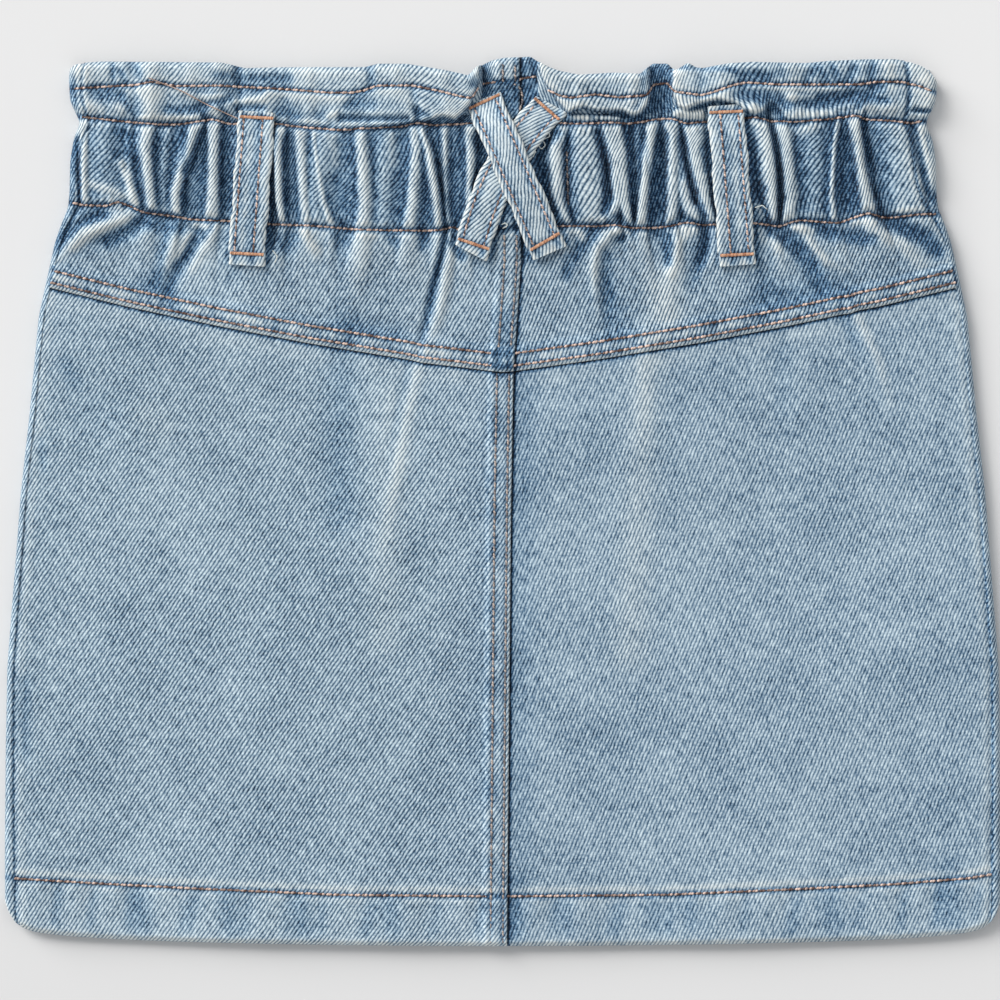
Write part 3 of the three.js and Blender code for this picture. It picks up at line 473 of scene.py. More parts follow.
def to_path(x, y, points):
    """Distance from each point of a grid to a path, and the share of its length there."""
    best = np.full(np.shape(x), 1e9)
    share = np.zeros(np.shape(x))
    lengths = [math.dist(a, b) for a, b in zip(points, points[1:])]
    run, total = 0.0, sum(lengths)
    for (ax, ay), (bx, by), length in zip(points, points[1:], lengths):
        t = np.clip(((x - ax) * (bx - ax) + (y - ay) * (by - ay)) / length**2, 0, 1)
        away = np.hypot(x - ax - t * (bx - ax), y - ay - t * (by - ay))
        nearer = away < best
        best = np.where(nearer, away, best)
        share = np.where(nearer, (run + t * length) / total, share)
        run += length
    return best, share


def inside(x, y, outline):
    """Signed distance to a closed outline: positive within it."""
    closed = list(outline) + [outline[0]]
    away, _ = to_path(x, y, closed)
    within = np.zeros(np.shape(x), bool)
    for (ax, ay), (bx, by) in zip(closed, closed[1:]):
        if ay == by:
            continue
        crosses = ((ay > y) != (by > y)) & (x < (bx - ax) * (y - ay) / (by - ay) + ax)
        within ^= crosses
    return np.where(within, away, -away)


def limited(wear):
    """Worn tone and painted shade that ease off towards full and none, so that the weave still shows there.
    """
    return 0.5 + 0.4 * np.tanh((wear - 0.5) / 0.4) - 0.1 * smooth(-wear, 0.1, 0.6)


def bow(name, share):
    """How far to the right of its straight line a loop lies, by the share of its length."""
    return BOW.get(name, 0.0) * np.sin(math.pi * np.clip(share, 0, 1))


def loop_place(name, x, y):
    """Share of a belt loop's length, and distance to the right of its centre line."""
    lower, upper, _ = LOOPS[name]
    dx, dy = upper[0] - lower[0], upper[1] - lower[1]
    length = math.hypot(dx, dy)
    along = ((x - lower[0]) * dx + (y - lower[1]) * dy) / length**2
    return along, ((x - lower[0]) * dy - (y - lower[1]) * dx) / length - bow(name, along)


def blur(values, cells):
    """A soft average over a square of the grid, run twice."""
    for axis in (0, 1, 0, 1):
        margins = [(cells + 1, cells) if a == axis else (0, 0) for a in (0, 1)]
        padded = np.pad(values, margins, mode="edge")
        total = np.cumsum(padded, axis=axis)
        size = values.shape[axis]
        take = lambda start: np.take(total, range(start, start + size), axis=axis)
        values = (take(2 * cells + 1) - take(0)) / (2 * cells + 1)
    return values


class Lay:
    """Height, and worn tone with painted shade, of the back's cloth on a fine grid, before seams are added.
    """

    CELL = 0.4

    def __init__(self, pleat_height, wear_and_shade_contrast):
        xs = np.arange(-171, 171, self.CELL)
        ys = np.arange(-153, 153, self.CELL)
        self.origin = (xs[0], ys[0])
        self.x, self.y = x, y = np.meshgrid(xs, ys)
        self.low, self.high = casing_low(x), casing_high(x)
        self.contrast = wear_and_shade_contrast
        edge = np.minimum(x - left_seam(y), right_seam(y) - x)
        self.height = 4.9 + 0.4 * smooth(y, 60, 92) * smooth(edge, -2, 12)
        self.height += self.sway(x, y) * smooth(edge, 0, 25)
        self.paint = np.zeros_like(x)
        self.gather_casing(pleat_height)
        self.fold_back()
        stand = self.raise_ruffle()
        self.press_wash_and_shade()
        self.shade_beside_loops()
        self.sink_casing_rows()
        self.height = np.maximum(self.height, LEAST_HEIGHT)

        in_waist = smooth(y, 76, 96)
        fine = self.height - blur(self.height, int(1.6 / self.CELL))
        broad = self.height - blur(self.height, int(5 / self.CELL))
        # High spots are worn pale and hollows keep dark dye, which partly stands in for their shade; the
        # crease term darkens concave creases as painted shade.
        crease_shade = np.minimum(fine + 0.25, 0)
        wear = wear_and_shade_contrast * (0.10 * fine + 0.08 * broad + 0.22 * crease_shade)
        wear = wear + self.paint - 0.02 * in_waist - 0.05 * stand
        self.wear = limited(0.5 + wear)

    def gather_casing(self, pleat_height):
        """Pleats, tallest where they overlap, pinched where the casing is stitched."""
        x, y, height, paint = self.x, self.y, self.height, self.paint
        rows = (y > 40) & (y < 140)
        band = np.flatnonzero(rows.any(axis=1))
        part = slice(band[0], band[-1] + 1)
        px, py = x[part], y[part]
        plow, phigh = self.low[part], self.high[part]
        share = (py - plow) / (phigh - plow)
        rise, crests, feet = np.zeros_like(px), np.zeros_like(px), np.zeros_like(px)
        for crest, widths, tall, left, right in PLEATS:
            at = np.interp(share, [0, 0.25, 0.75, 1], [crest[3], crest[2], crest[1], crest[0]])
            spread = half_width(py) / half_width(casing_low(crest[3]))
            at = np.where(share < 0, crest[3] * np.maximum(spread, 1), at)
            width = np.interp(share, [-1, 0, 0.5, 1, 1.5],
                              [widths[2] * 2.4, widths[2], widths[1], widths[0], widths[0] * 1.5])
            away = (px - at) / width
            power = np.where(away < 0, left, right)
            soft = np.where(power == 1, 1.7, 1.15)
            t = np.clip(np.abs(away) / soft, 0, 1)
            shape = np.where(power == 1, 0.5 + 0.5 * np.cos(np.pi * t), (1 - t ** (1 + power)) ** 0.75)
            rise = np.maximum(rise, tall * shape)
            crests = np.maximum(crests, shape ** (2 * power) * (0.35 if max(left, right) == 1 else 1))
            foot = hump(np.abs(np.abs(px - at) - 1.15 * width), 0.5)
            feet = np.maximum(feet, foot * np.choose(power - 1, [0.0, 0.4, 1.0]))
        below = np.where(share < 0, 0.62 * hump(plow - py, 13), 1)
        above = np.where(share > 1, 0.5 * hump(py - phigh, 5), 1)
        swell = 0.8 + 0.2 * np.sin(np.pi * np.clip(share, 0, 1))
        pinch = 1 - 0.42 * hump(py - plow, 1.5) - 0.42 * hump(py - phigh, 1.5)
        height[part] += rise * below * above * swell * pinch * pleat_height
        in_casing = smooth(share, -0.04, 0.06) * (1 - smooth(share, 0.95, 1.03))
        feet = feet * (1 - smooth(rise, 1.2, 2.6))
        # Crests are painted pale where worn; the foot of each sharp flank is painted dark as shade.
        paint[part] += self.contrast * (0.30 * crests - 0.42 * feet - 0.14) * in_casing
        height[part] -= 0.5 * feet * in_casing

    def fold_back(self):
        """The longer folds, which die away towards their far ends."""
        for points, width, rise, worn in FOLDS:
            window, bell, along = self.beside(points, width)
            bell = bell * (1 - 0.7 * smooth(along, 0.5, 1))
            self.height[window] += rise * bell
            self.paint[window] += worn * bell

    def raise_ruffle(self):
        """The ruffle stands up behind the upper stitch line; its flaps lie on one another."""
        x, y, high, height = self.x, self.y, self.high, self.height
        stand = smooth(y - high, 0.2, 4.5)
        tall = ruffle_rest(x)
        gathered = np.zeros_like(height)
        for points, width, rise in GATHERS:
            window, bell, _ = self.beside(points, width)
            gathered[window] += rise * bell
        tall = tall + gathered
        stretch = np.where(gathered > 0, 0.06, 0.10) * gathered
        self.paint += stretch * self.contrast * (y > high - 1)
        ruffle = height * (1 - stand) + tall * stand
        for outline, heights in FLAPS:
            within = inside(x, y, outline)
            t = np.clip(within / 1.1, 0, 1)
            rolled = np.sqrt(np.clip(1 - (1 - t) ** 2, 0, 1))
            top = np.interp(x, *zip(*heights)) + 0.8 * gathered
            ruffle = np.where(within > 0, np.maximum(ruffle, ruffle + (top - ruffle) * rolled), ruffle)
            step = np.clip((top - tall) / 4, 0, 1.2) * (y > high - 4)
            # Each flap's lip is worn pale, and a painted shadow falls on the cloth just outside its edge.
            lip = hump(within - 0.8, 0.7)
            flap_shadow = hump(within + 0.5, 0.9) + 0.5 * hump(within + 1.5, 1.5)
            self.paint += self.contrast * step * (0.14 * lip - 0.36 * flap_shadow)
        height = np.where(y > high, ruffle, height)
        ruffle_row = y - ruffle_line(x)
        height -= 0.75 * hump(ruffle_row, 0.8) * (y > high)
        near_edge = ruffle_edge(x) - y
        height -= 1.4 * (1 - smooth(near_edge, 0, 1.6)) * (y > high)
        self.height = height
        return stand

    def press_wash_and_shade(self):
        """Slits between pleats, painted dark as shade, and the listed marks of worn tone, kept dye and
        painted shade.
        """
        for points, width, depth in SLITS:
            window, bell, _ = self.beside(points, width)
            self.height[window] -= depth * bell
            # Slits are painted dark as shade.
            self.paint[window] -= 0.32 * bell
        for points, width, tone in WASH_AND_SHADE:
            window, bell, _ = self.beside(points, width)
            self.height[window] += 2.2 * tone * bell
            self.paint[window] += tone * self.contrast * bell

    def shade_beside_loops(self):
        """The cloth beside each belt loop gets a painted shadow, darkest on the loop's right."""
        for name in LOOPS:
            share, off = loop_place(name, self.x, self.y)
            along = smooth(share, -0.02, 0.03) * (1 - smooth(share, 0.97, 1.02))
            self.paint -= 0.42 * along * hump(off - 6.9, 0.8)
            self.paint -= 0.24 * along * hump(off + 6.7, 0.7)

    def sink_casing_rows(self):
        """Each casing row sinks in, with small puckers at its stitches."""
        for row, shift in ((self.low, 0.0), (self.high, 0.6)):
            away = self.y - row
            pucker = np.sin(self.x * 2.3 + 1.7 * np.sin(self.x * 0.37 + shift))
            self.height -= (0.75 + 0.25 * pucker) * hump(away, 0.75)
            self.height += 0.28 * pucker * hump(np.abs(away) - 1.8, 1.2)

    def beside(self, points, width):
        """The part of the grid near a path, with a bell across it and the share along it."""
        x, y = self.x, self.y
        reach = 3 * width
        window = []
        for axis, start, count in ((1, self.origin[1], x.shape[0]), (0, self.origin[0], x.shape[1])):
            places = [point[axis] for point in points]
            first = int((min(places) - reach - start) / self.CELL)
            last = int((max(places) + reach - start) / self.CELL) + 2
            window.append(slice(max(first, 0), min(last, count)))
        window = tuple(window)
        away, along = to_path(x[window], y[window], points)
        return window, hump(away, width), along

    @staticmethod
    def sway(x, y):
        """The gentle rise and fall of cloth that has been smoothed out by hand."""
        waves = (
            (0.045, 0.021, 0.4, 0.22), (-0.028, 0.052, 2.1, 0.2), (0.075, -0.03, 4.0, 0.12),
            (0.11, 0.06, 1.1, 0.07), (0.02, 0.11, 5.2, 0.09), (-0.13, 0.08, 3.3, 0.05),
        )  # fmt: skip
        return sum(a * np.sin(kx * x + ky * y + p) for kx, ky, p, a in waves)

    def sample(self, values, x, y):
        cx = np.clip((x - self.origin[0]) / self.CELL, 0, values.shape[1] - 1.001)
        cy = np.clip((y - self.origin[1]) / self.CELL, 0, values.shape[0] - 1.001)
        ix, iy = cx.astype(int), cy.astype(int)
        fx, fy = cx - ix, cy - iy
        lower = values[iy, ix] * (1 - fx) + values[iy, ix + 1] * fx
        upper = values[iy + 1, ix] * (1 - fx) + values[iy + 1, ix + 1] * fx
        return lower * (1 - fy) + upper * fy

    def at(self, x, y):
        x, y = np.asarray(x, float), np.asarray(y, float)
        return self.sample(self.height, x, y), self.sample(self.wear, x, y)


_lay = {}


def lay():
    """The lay of the cloth, worked out once for the current settings."""
    cloth = bpy.context.scene.skirt_cloth
    key = (cloth.pleat_height, cloth.wear_and_shade_contrast)
    if _lay.get("key") != key:
        _lay.update(key=key, lay=Lay(*key))
    return _lay["lay"]


# ------------------------------------------------------------------ cloth meshes


def grid_normals(grid):
    """Unit normals of a grid of points, up when rows run to +y and columns to +x."""
    across = np.gradient(grid, axis=1)
    along = np.gradient(grid, axis=0)
    normal = np.cross(across, along)
    return normal / np.maximum(np.linalg.norm(normal, axis=2, keepdims=True), 1e-9)


def worn_shaded_mesh(name, verts, faces, uv, wear, material):
    """A smooth mesh with its cloth coordinates and its worn tone with painted shade, from sizes in
    millimetres.
    """
    mesh = bpy.data.meshes.new(name)
    mesh.from_pydata((verts * MM).tolist(), [], faces)
    mesh.materials.append(material)
    mesh.shade_smooth()
    corner = np.empty(len(mesh.loops), np.int32)
    mesh.loops.foreach_get("vertex_index", corner)
    layer = mesh.uv_layers.new(name="Cloth")
    layer.data.foreach_set("uv", (uv * MM)[corner].astype(np.float32).ravel())
    tone = mesh.attributes.new("wear", "FLOAT", "POINT")
    tone.data.foreach_set("value", wear.astype(np.float32))
    return mesh


def cloth_mesh(name, grid, thickness, uv, wear, material):
    """A closed sheet whose outer face is a grid of points in millimetres."""
    rows, columns = grid.shape[:2]
    normal = grid_normals(grid)
    soft = np.stack([blur(normal[..., k], 2) for k in range(3)], axis=2)
    soft /= np.maximum(np.linalg.norm(soft, axis=2, keepdims=True), 1e-9)
    inner = grid - soft * thickness
    points = np.concatenate([grid.reshape(-1, 3), inner.reshape(-1, 3)])
    index = np.arange(rows * columns).reshape(rows, columns)
    under = index + rows * columns

    def quads(a, b, c, d):
        return np.stack([a, b, c, d], axis=-1).reshape(-1, 4)

    outer = quads(index[:-1, :-1], index[:-1, 1:], index[1:, 1:], index[1:, :-1])
    back = quads(under[:-1, :-1], under[1:, :-1], under[1:, 1:], under[:-1, 1:])
    ring = np.concatenate([index[0, :-1], index[:-1, -1], index[-1, :0:-1], index[:0:-1, 0]])
    following = np.roll(ring, -1)
    rim = quads(following, ring, ring + rows * columns, following + rows * columns)
    faces = np.concatenate([outer, back, rim])
    # The inner face has the outer one's coordinates and is less worn.
    both_uv = np.concatenate([uv.reshape(-1, 2), uv.reshape(-1, 2)])
    both_wear = np.concatenate([wear.ravel(), wear.ravel() * 0.6 + 0.1])
    mesh = worn_shaded_mesh(name, points, faces.tolist(), both_uv, both_wear, material)
    # The cut or folded edge stays crisp.
    on_ring = np.zeros(2 * rows * columns, bool)
    on_ring[ring] = on_ring[ring + rows * columns] = True
    ends = np.empty(2 * len(mesh.edges), np.int32)
    mesh.edges.foreach_get("vertices", ends)
    ends = ends.reshape(-1, 2)
    same_face = (ends[:, 0] < rows * columns) == (ends[:, 1] < rows * columns)
    sharp = mesh.attributes.new("sharp_edge", "BOOLEAN", "EDGE")
    sharp.data.foreach_set("value", on_ring[ends].all(axis=1) & same_face)
    return put_in_scene(name, mesh)


def arc_uv(grid):
    """Cloth coordinates: across by x, evened out by the length of cloth, and up by length."""
    steps = np.linalg.norm(np.diff(grid, axis=1), axis=2)
    run = np.concatenate([np.zeros((len(grid), 1)), np.cumsum(steps, axis=1)], axis=1)
    start, width = grid[:, :1, 0], grid[:, -1:, 0] - grid[:, :1, 0]
    even = (grid[..., 0] - start) / width
    share = even + blur(run / run[:, -1:] - even, 6)
    u = start + width * share
    rises = np.linalg.norm(np.diff(grid, axis=0), axis=2)
    v = np.concatenate([np.zeros((1, grid.shape[1])), np.cumsum(rises, axis=0)])
    level = v.mean(axis=1, keepdims=True)
    v = level + blur(v - level, 6)
    return np.stack([u, v + grid[:1, :, 1]], axis=2)


def put_in_scene(name, data):
    """A new object that shows the given mesh, curve, light or camera."""
    thing = bpy.data.objects.new(name, data)
    bpy.context.scene.collection.objects.link(thing)
    return thing


def finish_piece(piece, node=None):
    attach(piece, "root")
    if node:
        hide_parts(node)
    return piece


def felled(distance, width, rise, rows):
    """Height of a felled seam from its free edge inwards: a raised band with sunken rows."""
    band = rise * smooth(distance, -0.05, 0.35) * (1 - smooth(distance, width, width + 1.6))
    for row in rows:
        band = band - 0.3 * hump(distance - row, 0.55)
    return band


def stitch_shade(distance, rows, depth):
    """Dye kept dark in the groove of each row of stitches, with painted shade there too, and worn pale
    beside it.
    """
    shade = 0
    for row in rows:
        away = np.abs(distance - row)
        shade = shade - depth * hump(away, 0.8) + 0.2 * depth * hump(away - 1.9, 0.7)
    return shade


def puckers(along):
    """Slanting puckers along a felled seam, from -1 to 1."""
    return np.sin(along * 0.42 + 1.3 * np.sin(along * 0.11))


def lap_under(from_seam):
    """How far the right half dips where it runs in under the left one."""
    return 0.9 * (1 - smooth(from_seam, -0.6, 0.5))


def roping(along, distance, depth):
    """The slanting puckers that a felled seam pulls into the cloth beside its stitches."""
    wave = np.sin(along * 0.42 + 1.3 * np.sin(along * 0.11) - 0.35 * distance)
    return depth * wave * hump(distance, 5.0)


def back_panel(side, sizes, material):
    """One half of the back below the yoke, its hem turned up inside and stitched down."""
    field = lay()
    cloth, hem = sizes.thickness * 1000, sizes.hem * 1000
    columns, rows = 132, 170
    # Columns and rows lie closer together towards the seams and the hem.
    u = np.linspace(0, 1, columns)[None, :]
    v = np.linspace(0, 1, rows)[:, None]
    u, v = u - 0.115 * np.sin(2 * math.pi * u), v - 0.1 * np.sin(2 * math.pi * v)
    x = np.full((rows, columns), side * 80.0)
    y = np.zeros((rows, columns))
    for _ in range(4):
        y = hem_edge(x) + (yoke_seam(x) + 1.6 - hem_edge(x)) * v
        start, end = span(side, y)
        x = start + (end - start) * u
    z, wear = field.at(x, y)
    from_hem = y - hem_edge(x)
    from_yoke = yoke_seam(x) - y
    # Centre seam: the left side laps over the right one.
    if side < 0:
        from_seam = centre_seam(y) - x
        z = z + felled(from_seam, FELL, 0.95, CENTRE_ROWS) + roping(y, from_seam - 4, 0.16)
        wear = wear + 0.26 * hump(from_seam, 0.8) + stitch_shade(from_seam, CENTRE_ROWS, 0.14)
        wear = wear + 0.12 * puckers(y) * hump(from_seam - CENTRE_ROWS[1], 2)
    else:
        from_seam = x - centre_seam(y)
        z = z - lap_under(from_seam)
        # A painted shadow darkens the cloth along the left half's edge that lies on it.
        wear = wear - 0.34 * hump(from_seam, 0.9) - 0.05 * hump(from_seam - 4, 5)
        wear = wear - 0.9 * hump(from_seam - 0.4, 0.42)
    # The panel dives under the yoke's edge, which casts a painted shadow on it.
    z = z - 1.1 * (1 - smooth(from_yoke, -0.4, 1.0))
    wear = wear - 0.8 * hump(from_yoke - 0.3, 0.55) + 0.04 * hump(from_yoke - 4, 2.5)
    # Side seams pull in a little, with short puckers, and the sunken seam is painted dark as shade.
    from_side = np.minimum(x - left_seam(y), right_seam(y) - x)
    z = z - 0.5 * hump(from_side, 1.2) + 0.12 * np.sin(y * 0.8) * hump(from_side, 4)
    wear = wear - 0.10 * hump(from_side, 0.7) + 0.07 * hump(from_side - 2.2, 1.6)
    # Hem: thicker, sunk along its stitches and roped between them.
    stitched = y - hem_stitch(x)
    rope = np.sin(x * 0.40 + 1.6 * np.sin(x * 0.09) - 0.06 * from_hem)
    in_hem = 1 - smooth(stitched, -1, 1)
    z = z + 0.35 * in_hem - 0.45 * hump(stitched, 0.8)
    z = z - 0.34 * rope * hump(stitched, 9) * in_hem
    patch = np.clip(rope, -0.3, 1) ** 3 * (0.75 + 0.25 * np.sin(x * 0.13 + 2))
    wear = wear - 0.12 * patch * in_hem * smooth(from_hem, 1, 5) * smooth(-stitched, -0.5, 2)
    wear = wear + 0.13 * hump(stitched - 2.2, 1.3) + 0.03 * in_hem + stitch_shade(stitched, (0,), 0.42)
    wear = wear + 0.28 * hump(from_hem, 1.5) * (0.75 + 0.25 * np.sin(x * 0.9 + np.sin(x * 0.23)))
    z = z - 1.3 * (1 - smooth(from_hem, -0.2, 1.3))
    outer = np.stack([x, y, z], axis=2)
    # The turned-up hem, from its top edge inside down to the fold.
    inner_rows = 12
    fall = np.linspace(1, 0, inner_rows, endpoint=False)[:, None]
    base = np.minimum(z[:14].mean(axis=0), 5.4)
    turned_x = np.repeat(x[:1], inner_rows, axis=0)
    turned_y = hem_edge(turned_x) + 0.5 + (hem - 1) * fall
    turned_z = np.repeat((base - cloth - 0.7)[None, :], inner_rows, axis=0) - 0.3 * (1 - fall)
    turned_up = np.stack([turned_x, turned_y, turned_z], axis=2)
    fold = np.stack([x[:1], hem_edge(x[:1]) - 0.25, base[None, :] - cloth - 0.3], axis=2)
    grid = np.concatenate([turned_up, fold, outer])
    uv = arc_uv(grid)
    wear = np.concatenate([np.repeat(wear[:1] * 0.8, inner_rows + 1, axis=0), wear])
    name = "back_panel_left" if side < 0 else "back_panel_right"
    piece = cloth_mesh(name + "_cloth", grid, cloth * 0.7, uv, limited(wear), material)
    finish_piece(piece, name)
    return piece


def back_yoke(side, sizes, material):
    """Half of the yoke, in one with the elastic casing and the ruffle folded over above it."""
    field = lay()
    cloth = sizes.thickness * 1000
    columns = 330
    u = np.linspace(0, 1, columns)[None, :]
    shares = [np.linspace(low, high, rows, endpoint=high == 1) for low, high, rows in YOKE_BANDS]
    shares = np.concatenate(shares)[:, None]

    def height_at(x, v):
        marks = [yoke_seam(x), casing_low(x), casing_high(x), ruffle_edge(x)]
        y = np.zeros_like(x * v)
        for (low, high, _), lower, upper in zip(YOKE_BANDS, marks, marks[1:]):
            y = y + (upper - lower) * np.clip((v - low) / (high - low), 0, 1)
        return marks[0] + y

    x = np.full((len(shares), columns), side * 75.0)
    for _ in range(6):
        y = height_at(x, shares)
        start, end = span(side, y)
        x = start + (end - start) * u
    z, wear = field.at(x, y)
    from_yoke = y - yoke_seam(x)
    low, high = casing_low(x), casing_high(x)
    # Felled yoke seam, its edge lying on the panels below.
    z = z + felled(from_yoke, FELL, 1.0, YOKE_ROWS) + roping(x, from_yoke - 4, 0.14)
    wear = wear + 0.36 * hump(from_yoke, 0.95) - 0.10 * hump(from_yoke - 8.0, 0.9)
    rope = puckers(x) + 0.8 * np.sin(x * 2.1 + 1.5 * np.sin(x * 0.3))
    wear = wear + 0.10 * rope * hump(from_yoke - 3.8, 1.8) + stitch_shade(from_yoke, YOKE_ROWS, 0.34)
    if side < 0:
        from_seam = centre_seam(y) - x
        z = z + felled(from_seam, FELL, 0.9, CENTRE_ROWS) + roping(y, from_seam - 4, 0.14)
        wear = wear + 0.2 * hump(from_seam, 0.8) + stitch_shade(from_seam, CENTRE_ROWS, 0.14)
    else:
        from_seam = x - centre_seam(y)
        z = z - lap_under(from_seam)
        # A painted shadow darkens the cloth along the left half's edge that lies on it.
        wear = wear - 0.34 * hump(from_seam, 0.9) - 0.8 * hump(from_seam - 0.5, 0.45)
    from_side = np.minimum(x - left_seam(y), right_seam(y) - x)
    # The side seam sinks in and is painted dark there as shade.
    z = z - 0.8 * hump(from_side, 0.7)
    wear = wear - 0.45 * hump(from_side, 0.6) + 0.08 * hump(from_side - 1.5, 0.8)
    # The casing is darker between its rows; the ruffle's fold is worn pale.
    in_casing = smooth(y - low, 0, 2) * (1 - smooth(y - high, -1, 1))
    wear = wear - 0.06 * in_casing
    wear = wear + stitch_shade(y - low, (0,), 0.5) + stitch_shade(y - high, (0,), 0.5)
    wear = wear + stitch_shade(y - ruffle_line(x), (0,), 0.45)
    from_edge = ruffle_edge(x) - y
    wear = wear + 0.16 * hump(from_edge, 1.2) + 0.05 * smooth(y - high, 0, 3)
    outer = np.stack([x, y, z], axis=2)
    # Facing of the ruffle, folded down behind it.
    facing_rows = 10
    drop = np.linspace(0, 1, facing_rows + 1)[1:, None]
    facing_x = np.repeat(x[-1:], facing_rows, axis=0)
    facing_y = y[-1:] + 0.1 - 13 * drop
    top_z = np.minimum(z[-1:], 9.0)
    facing_z = top_z - cloth - 0.5 - (top_z - 4.6) * 0.5 * smooth(drop, 0.2, 1)
    fold = np.stack([x[-1:], y[-1:] + 0.35, top_z - 0.55 * cloth], axis=2)
    grid = np.concatenate([outer, fold, np.stack([facing_x, facing_y, facing_z], axis=2)])
    uv = arc_uv(grid)
    wear = np.concatenate([wear, np.repeat(wear[-1:], facing_rows + 1, axis=0)])
    name = "back_yoke_left" if side < 0 else "back_yoke_right"
    piece = cloth_mesh(name + "_cloth", grid, cloth * 0.7, uv, limited(wear), material)
    finish_piece(piece, name)
    return piece


def front_panel(sizes, material):
    """The front, from hem to ruffle, flat on the table and rolled up round both sides."""
    field = lay()
    cloth = sizes.thickness * 1000
    radius, tuck_under = 2.0, 1.2
    v = np.concatenate([np.linspace(0, 0.8, 118, endpoint=False), np.linspace(0.8, 1, 100)])[:, None]
    rows = len(v)
    flat, roll, strip = 96, 12, 14
    kinds = (
        [(-1, "strip", k / strip) for k in range(strip)]
        + [(-1, "roll", k / roll) for k in range(roll)]
        + [(0, "flat", k / flat) for k in range(flat + 1)]
        + [(1, "roll", 1 - (k + 1) / roll) for k in range(roll)]
        + [(1, "strip", 1 - (k + 1) / strip) for k in range(strip)]
    )
    grid = np.zeros((rows, len(kinds), 3))
    uv = np.zeros((rows, len(kinds), 2))
    wear = np.full((rows, len(kinds)), 0.5)
    for j, (side, kind, t) in enumerate(kinds):
        x = np.full((rows, 1), side * 150.0 if side else (2 * t - 1) * 150)
        for _ in range(4):
            top = ruffle_edge(x) if side else 141.2 + 3.2 * smooth(np.abs(x), 130, 143)
            y = hem_edge(x) + (top - hem_edge(x)) * v
            width = half_width(y)
            edge = side * (width - radius)
            rise, tone = field.at(edge, y)
            if kind == "flat":
                x = (width - radius) * (2 * t - 1)
                lifted = smooth(y, 88, 100) * (1 - 0.7 * smooth(y, 127, 134))
                z = lifted * (0.5 - 0.5 * np.cos(x * 0.75 + 1.4 * np.sin(x * 0.21)))
                u, tone = -x, tone * 0 + 0.5
            elif kind == "roll":
                angle = math.pi * (0.5 - t)
                x = edge + side * radius * math.cos(angle)
                z = rise / 2 + rise / 2 * math.sin(angle)
                u = edge + side * (radius + rise) * t
                tone = tone * (1 - t) + 0.5 * t
            else:
                seam_in = seam_in_left(y) if side < 0 else seam_in_right(y)
                tuck = np.maximum(seam_in + tuck_under - radius, 0.2)
                x = edge - side * tuck * (1 - t)
                z, tone = field.at(x, y)
                from_seam = t * tuck - tuck_under
                z = z - 0.8 * (1 - smooth(from_seam, -tuck_under, 0.3)) - 0.3 * hump(from_seam, 0.6)
                # The sunken seam is painted dark as shade.
                tone = tone - 0.4 * hump(from_seam, 0.5) + 0.12 * smooth(y, 126, 132) + 0.04
                casing = smooth(y, 97, 101) * (1 - smooth(y, 122, 126))
                tone = tone + 0.3 * casing * hump(from_seam - 1.5, 0.9)
                u = x
        lines = (casing_low, casing_high, ruffle_line, hem_stitch)
        stitched = sum(stitch_shade(y - line(x), (0,), 0.4) for line in lines)
        grid[:, j] = np.concatenate([x, y, np.maximum(z, 0)], axis=1)
        uv[:, j] = np.concatenate([u, y], axis=1)
        wear[:, j] = (tone + (stitched if side else 0))[:, 0]
    grid, uv, wear = grid[:, ::-1], uv[:, ::-1], wear[:, ::-1]
    y = grid[..., 1]
    worn_edge = hump(y - y[:1], 1.5) + hump(y - y[-1:], 1.2)
    wear = wear + 0.2 * worn_edge
    piece = cloth_mesh("front_panel_cloth", grid, cloth * 0.7, uv, limited(wear), material)
    finish_piece(piece, "front_panel")
    return piece


# -------------------------------------------------------------------- belt loops


def loop_frame(name, share, off):
    """A point on a belt loop, by its share of the length and its distance off centre."""
    lower, upper, _ = LOOPS[name]
    dx, dy = upper[0] - lower[0], upper[1] - lower[1]
    length = math.hypot(dx, dy)
    off = off + bow(name, share)
    return lower[0] + dx * share + dy / length * off, lower[1] + dy * share - dx / length * off


STRAP_SHARES = np.linspace(0, 1, 61)  # where a strap's height is worked out
_strap = {}


def strap_height(name):
    """Height of a loop's underside along its length, drawn tight over what it crosses."""
    if name in _strap:
        return _strap[name]
    field = lay()
    shares = STRAP_SHARES
    across = np.linspace(-6, 6, 13)
    x, y = loop_frame(name, shares[:, None], across[None, :])
    height = field.at(x, y)[0]
    centre = np.sort(height, axis=1)[:, -4]
    if name == "cross_loop_over":
        under = strap_height("cross_loop_under") + 1.9
        along, off = loop_place("cross_loop_under", x, y)
        on = (np.abs(off) < 6.2) & (along > 0) & (along < 1)
        covered = np.where(on, np.interp(along, shares, under), 0).max(axis=1)
        centre = np.maximum(centre, covered)
    tight = centre.copy()
    for a in range(len(shares)):
        for b in range(a + 2, len(shares)):
            t = np.linspace(0, 1, b - a + 1)
            tight[a : b + 1] = np.maximum(tight[a : b + 1], centre[a] * (1 - t) + centre[b] * t)
    soft = np.convolve(np.pad(tight, 3, mode="edge"), np.ones(7) / 7, "valid")
    pressed = hump(shares, 0.05) + hump(1 - shares, 0.05)
    _strap[name] = np.maximum(soft, tight - 0.25) + 0.25 - 0.5 * pressed
    return _strap[name]


def strap_top(name, share, off):
    """Height of a loop's upper face: thick at its folded edges, sunk along its stitches."""
    lift = np.interp(share, STRAP_SHARES, strap_height(name))
    height = 1.85 + 0.3 * hump(np.abs(off) - 5.0, 0.9)
    for row in LOOPS[name][2]:
        height = height - 0.45 * hump(off - row, 0.65)
    for tack, _ in TACKS[name]:
        height = height - 0.4 * hump(share - tack, 0.018)
    return lift + height + 0.08 * np.sin(share * 47 + off * 0.9) + 0.07 * np.sin(share * 21 - off)


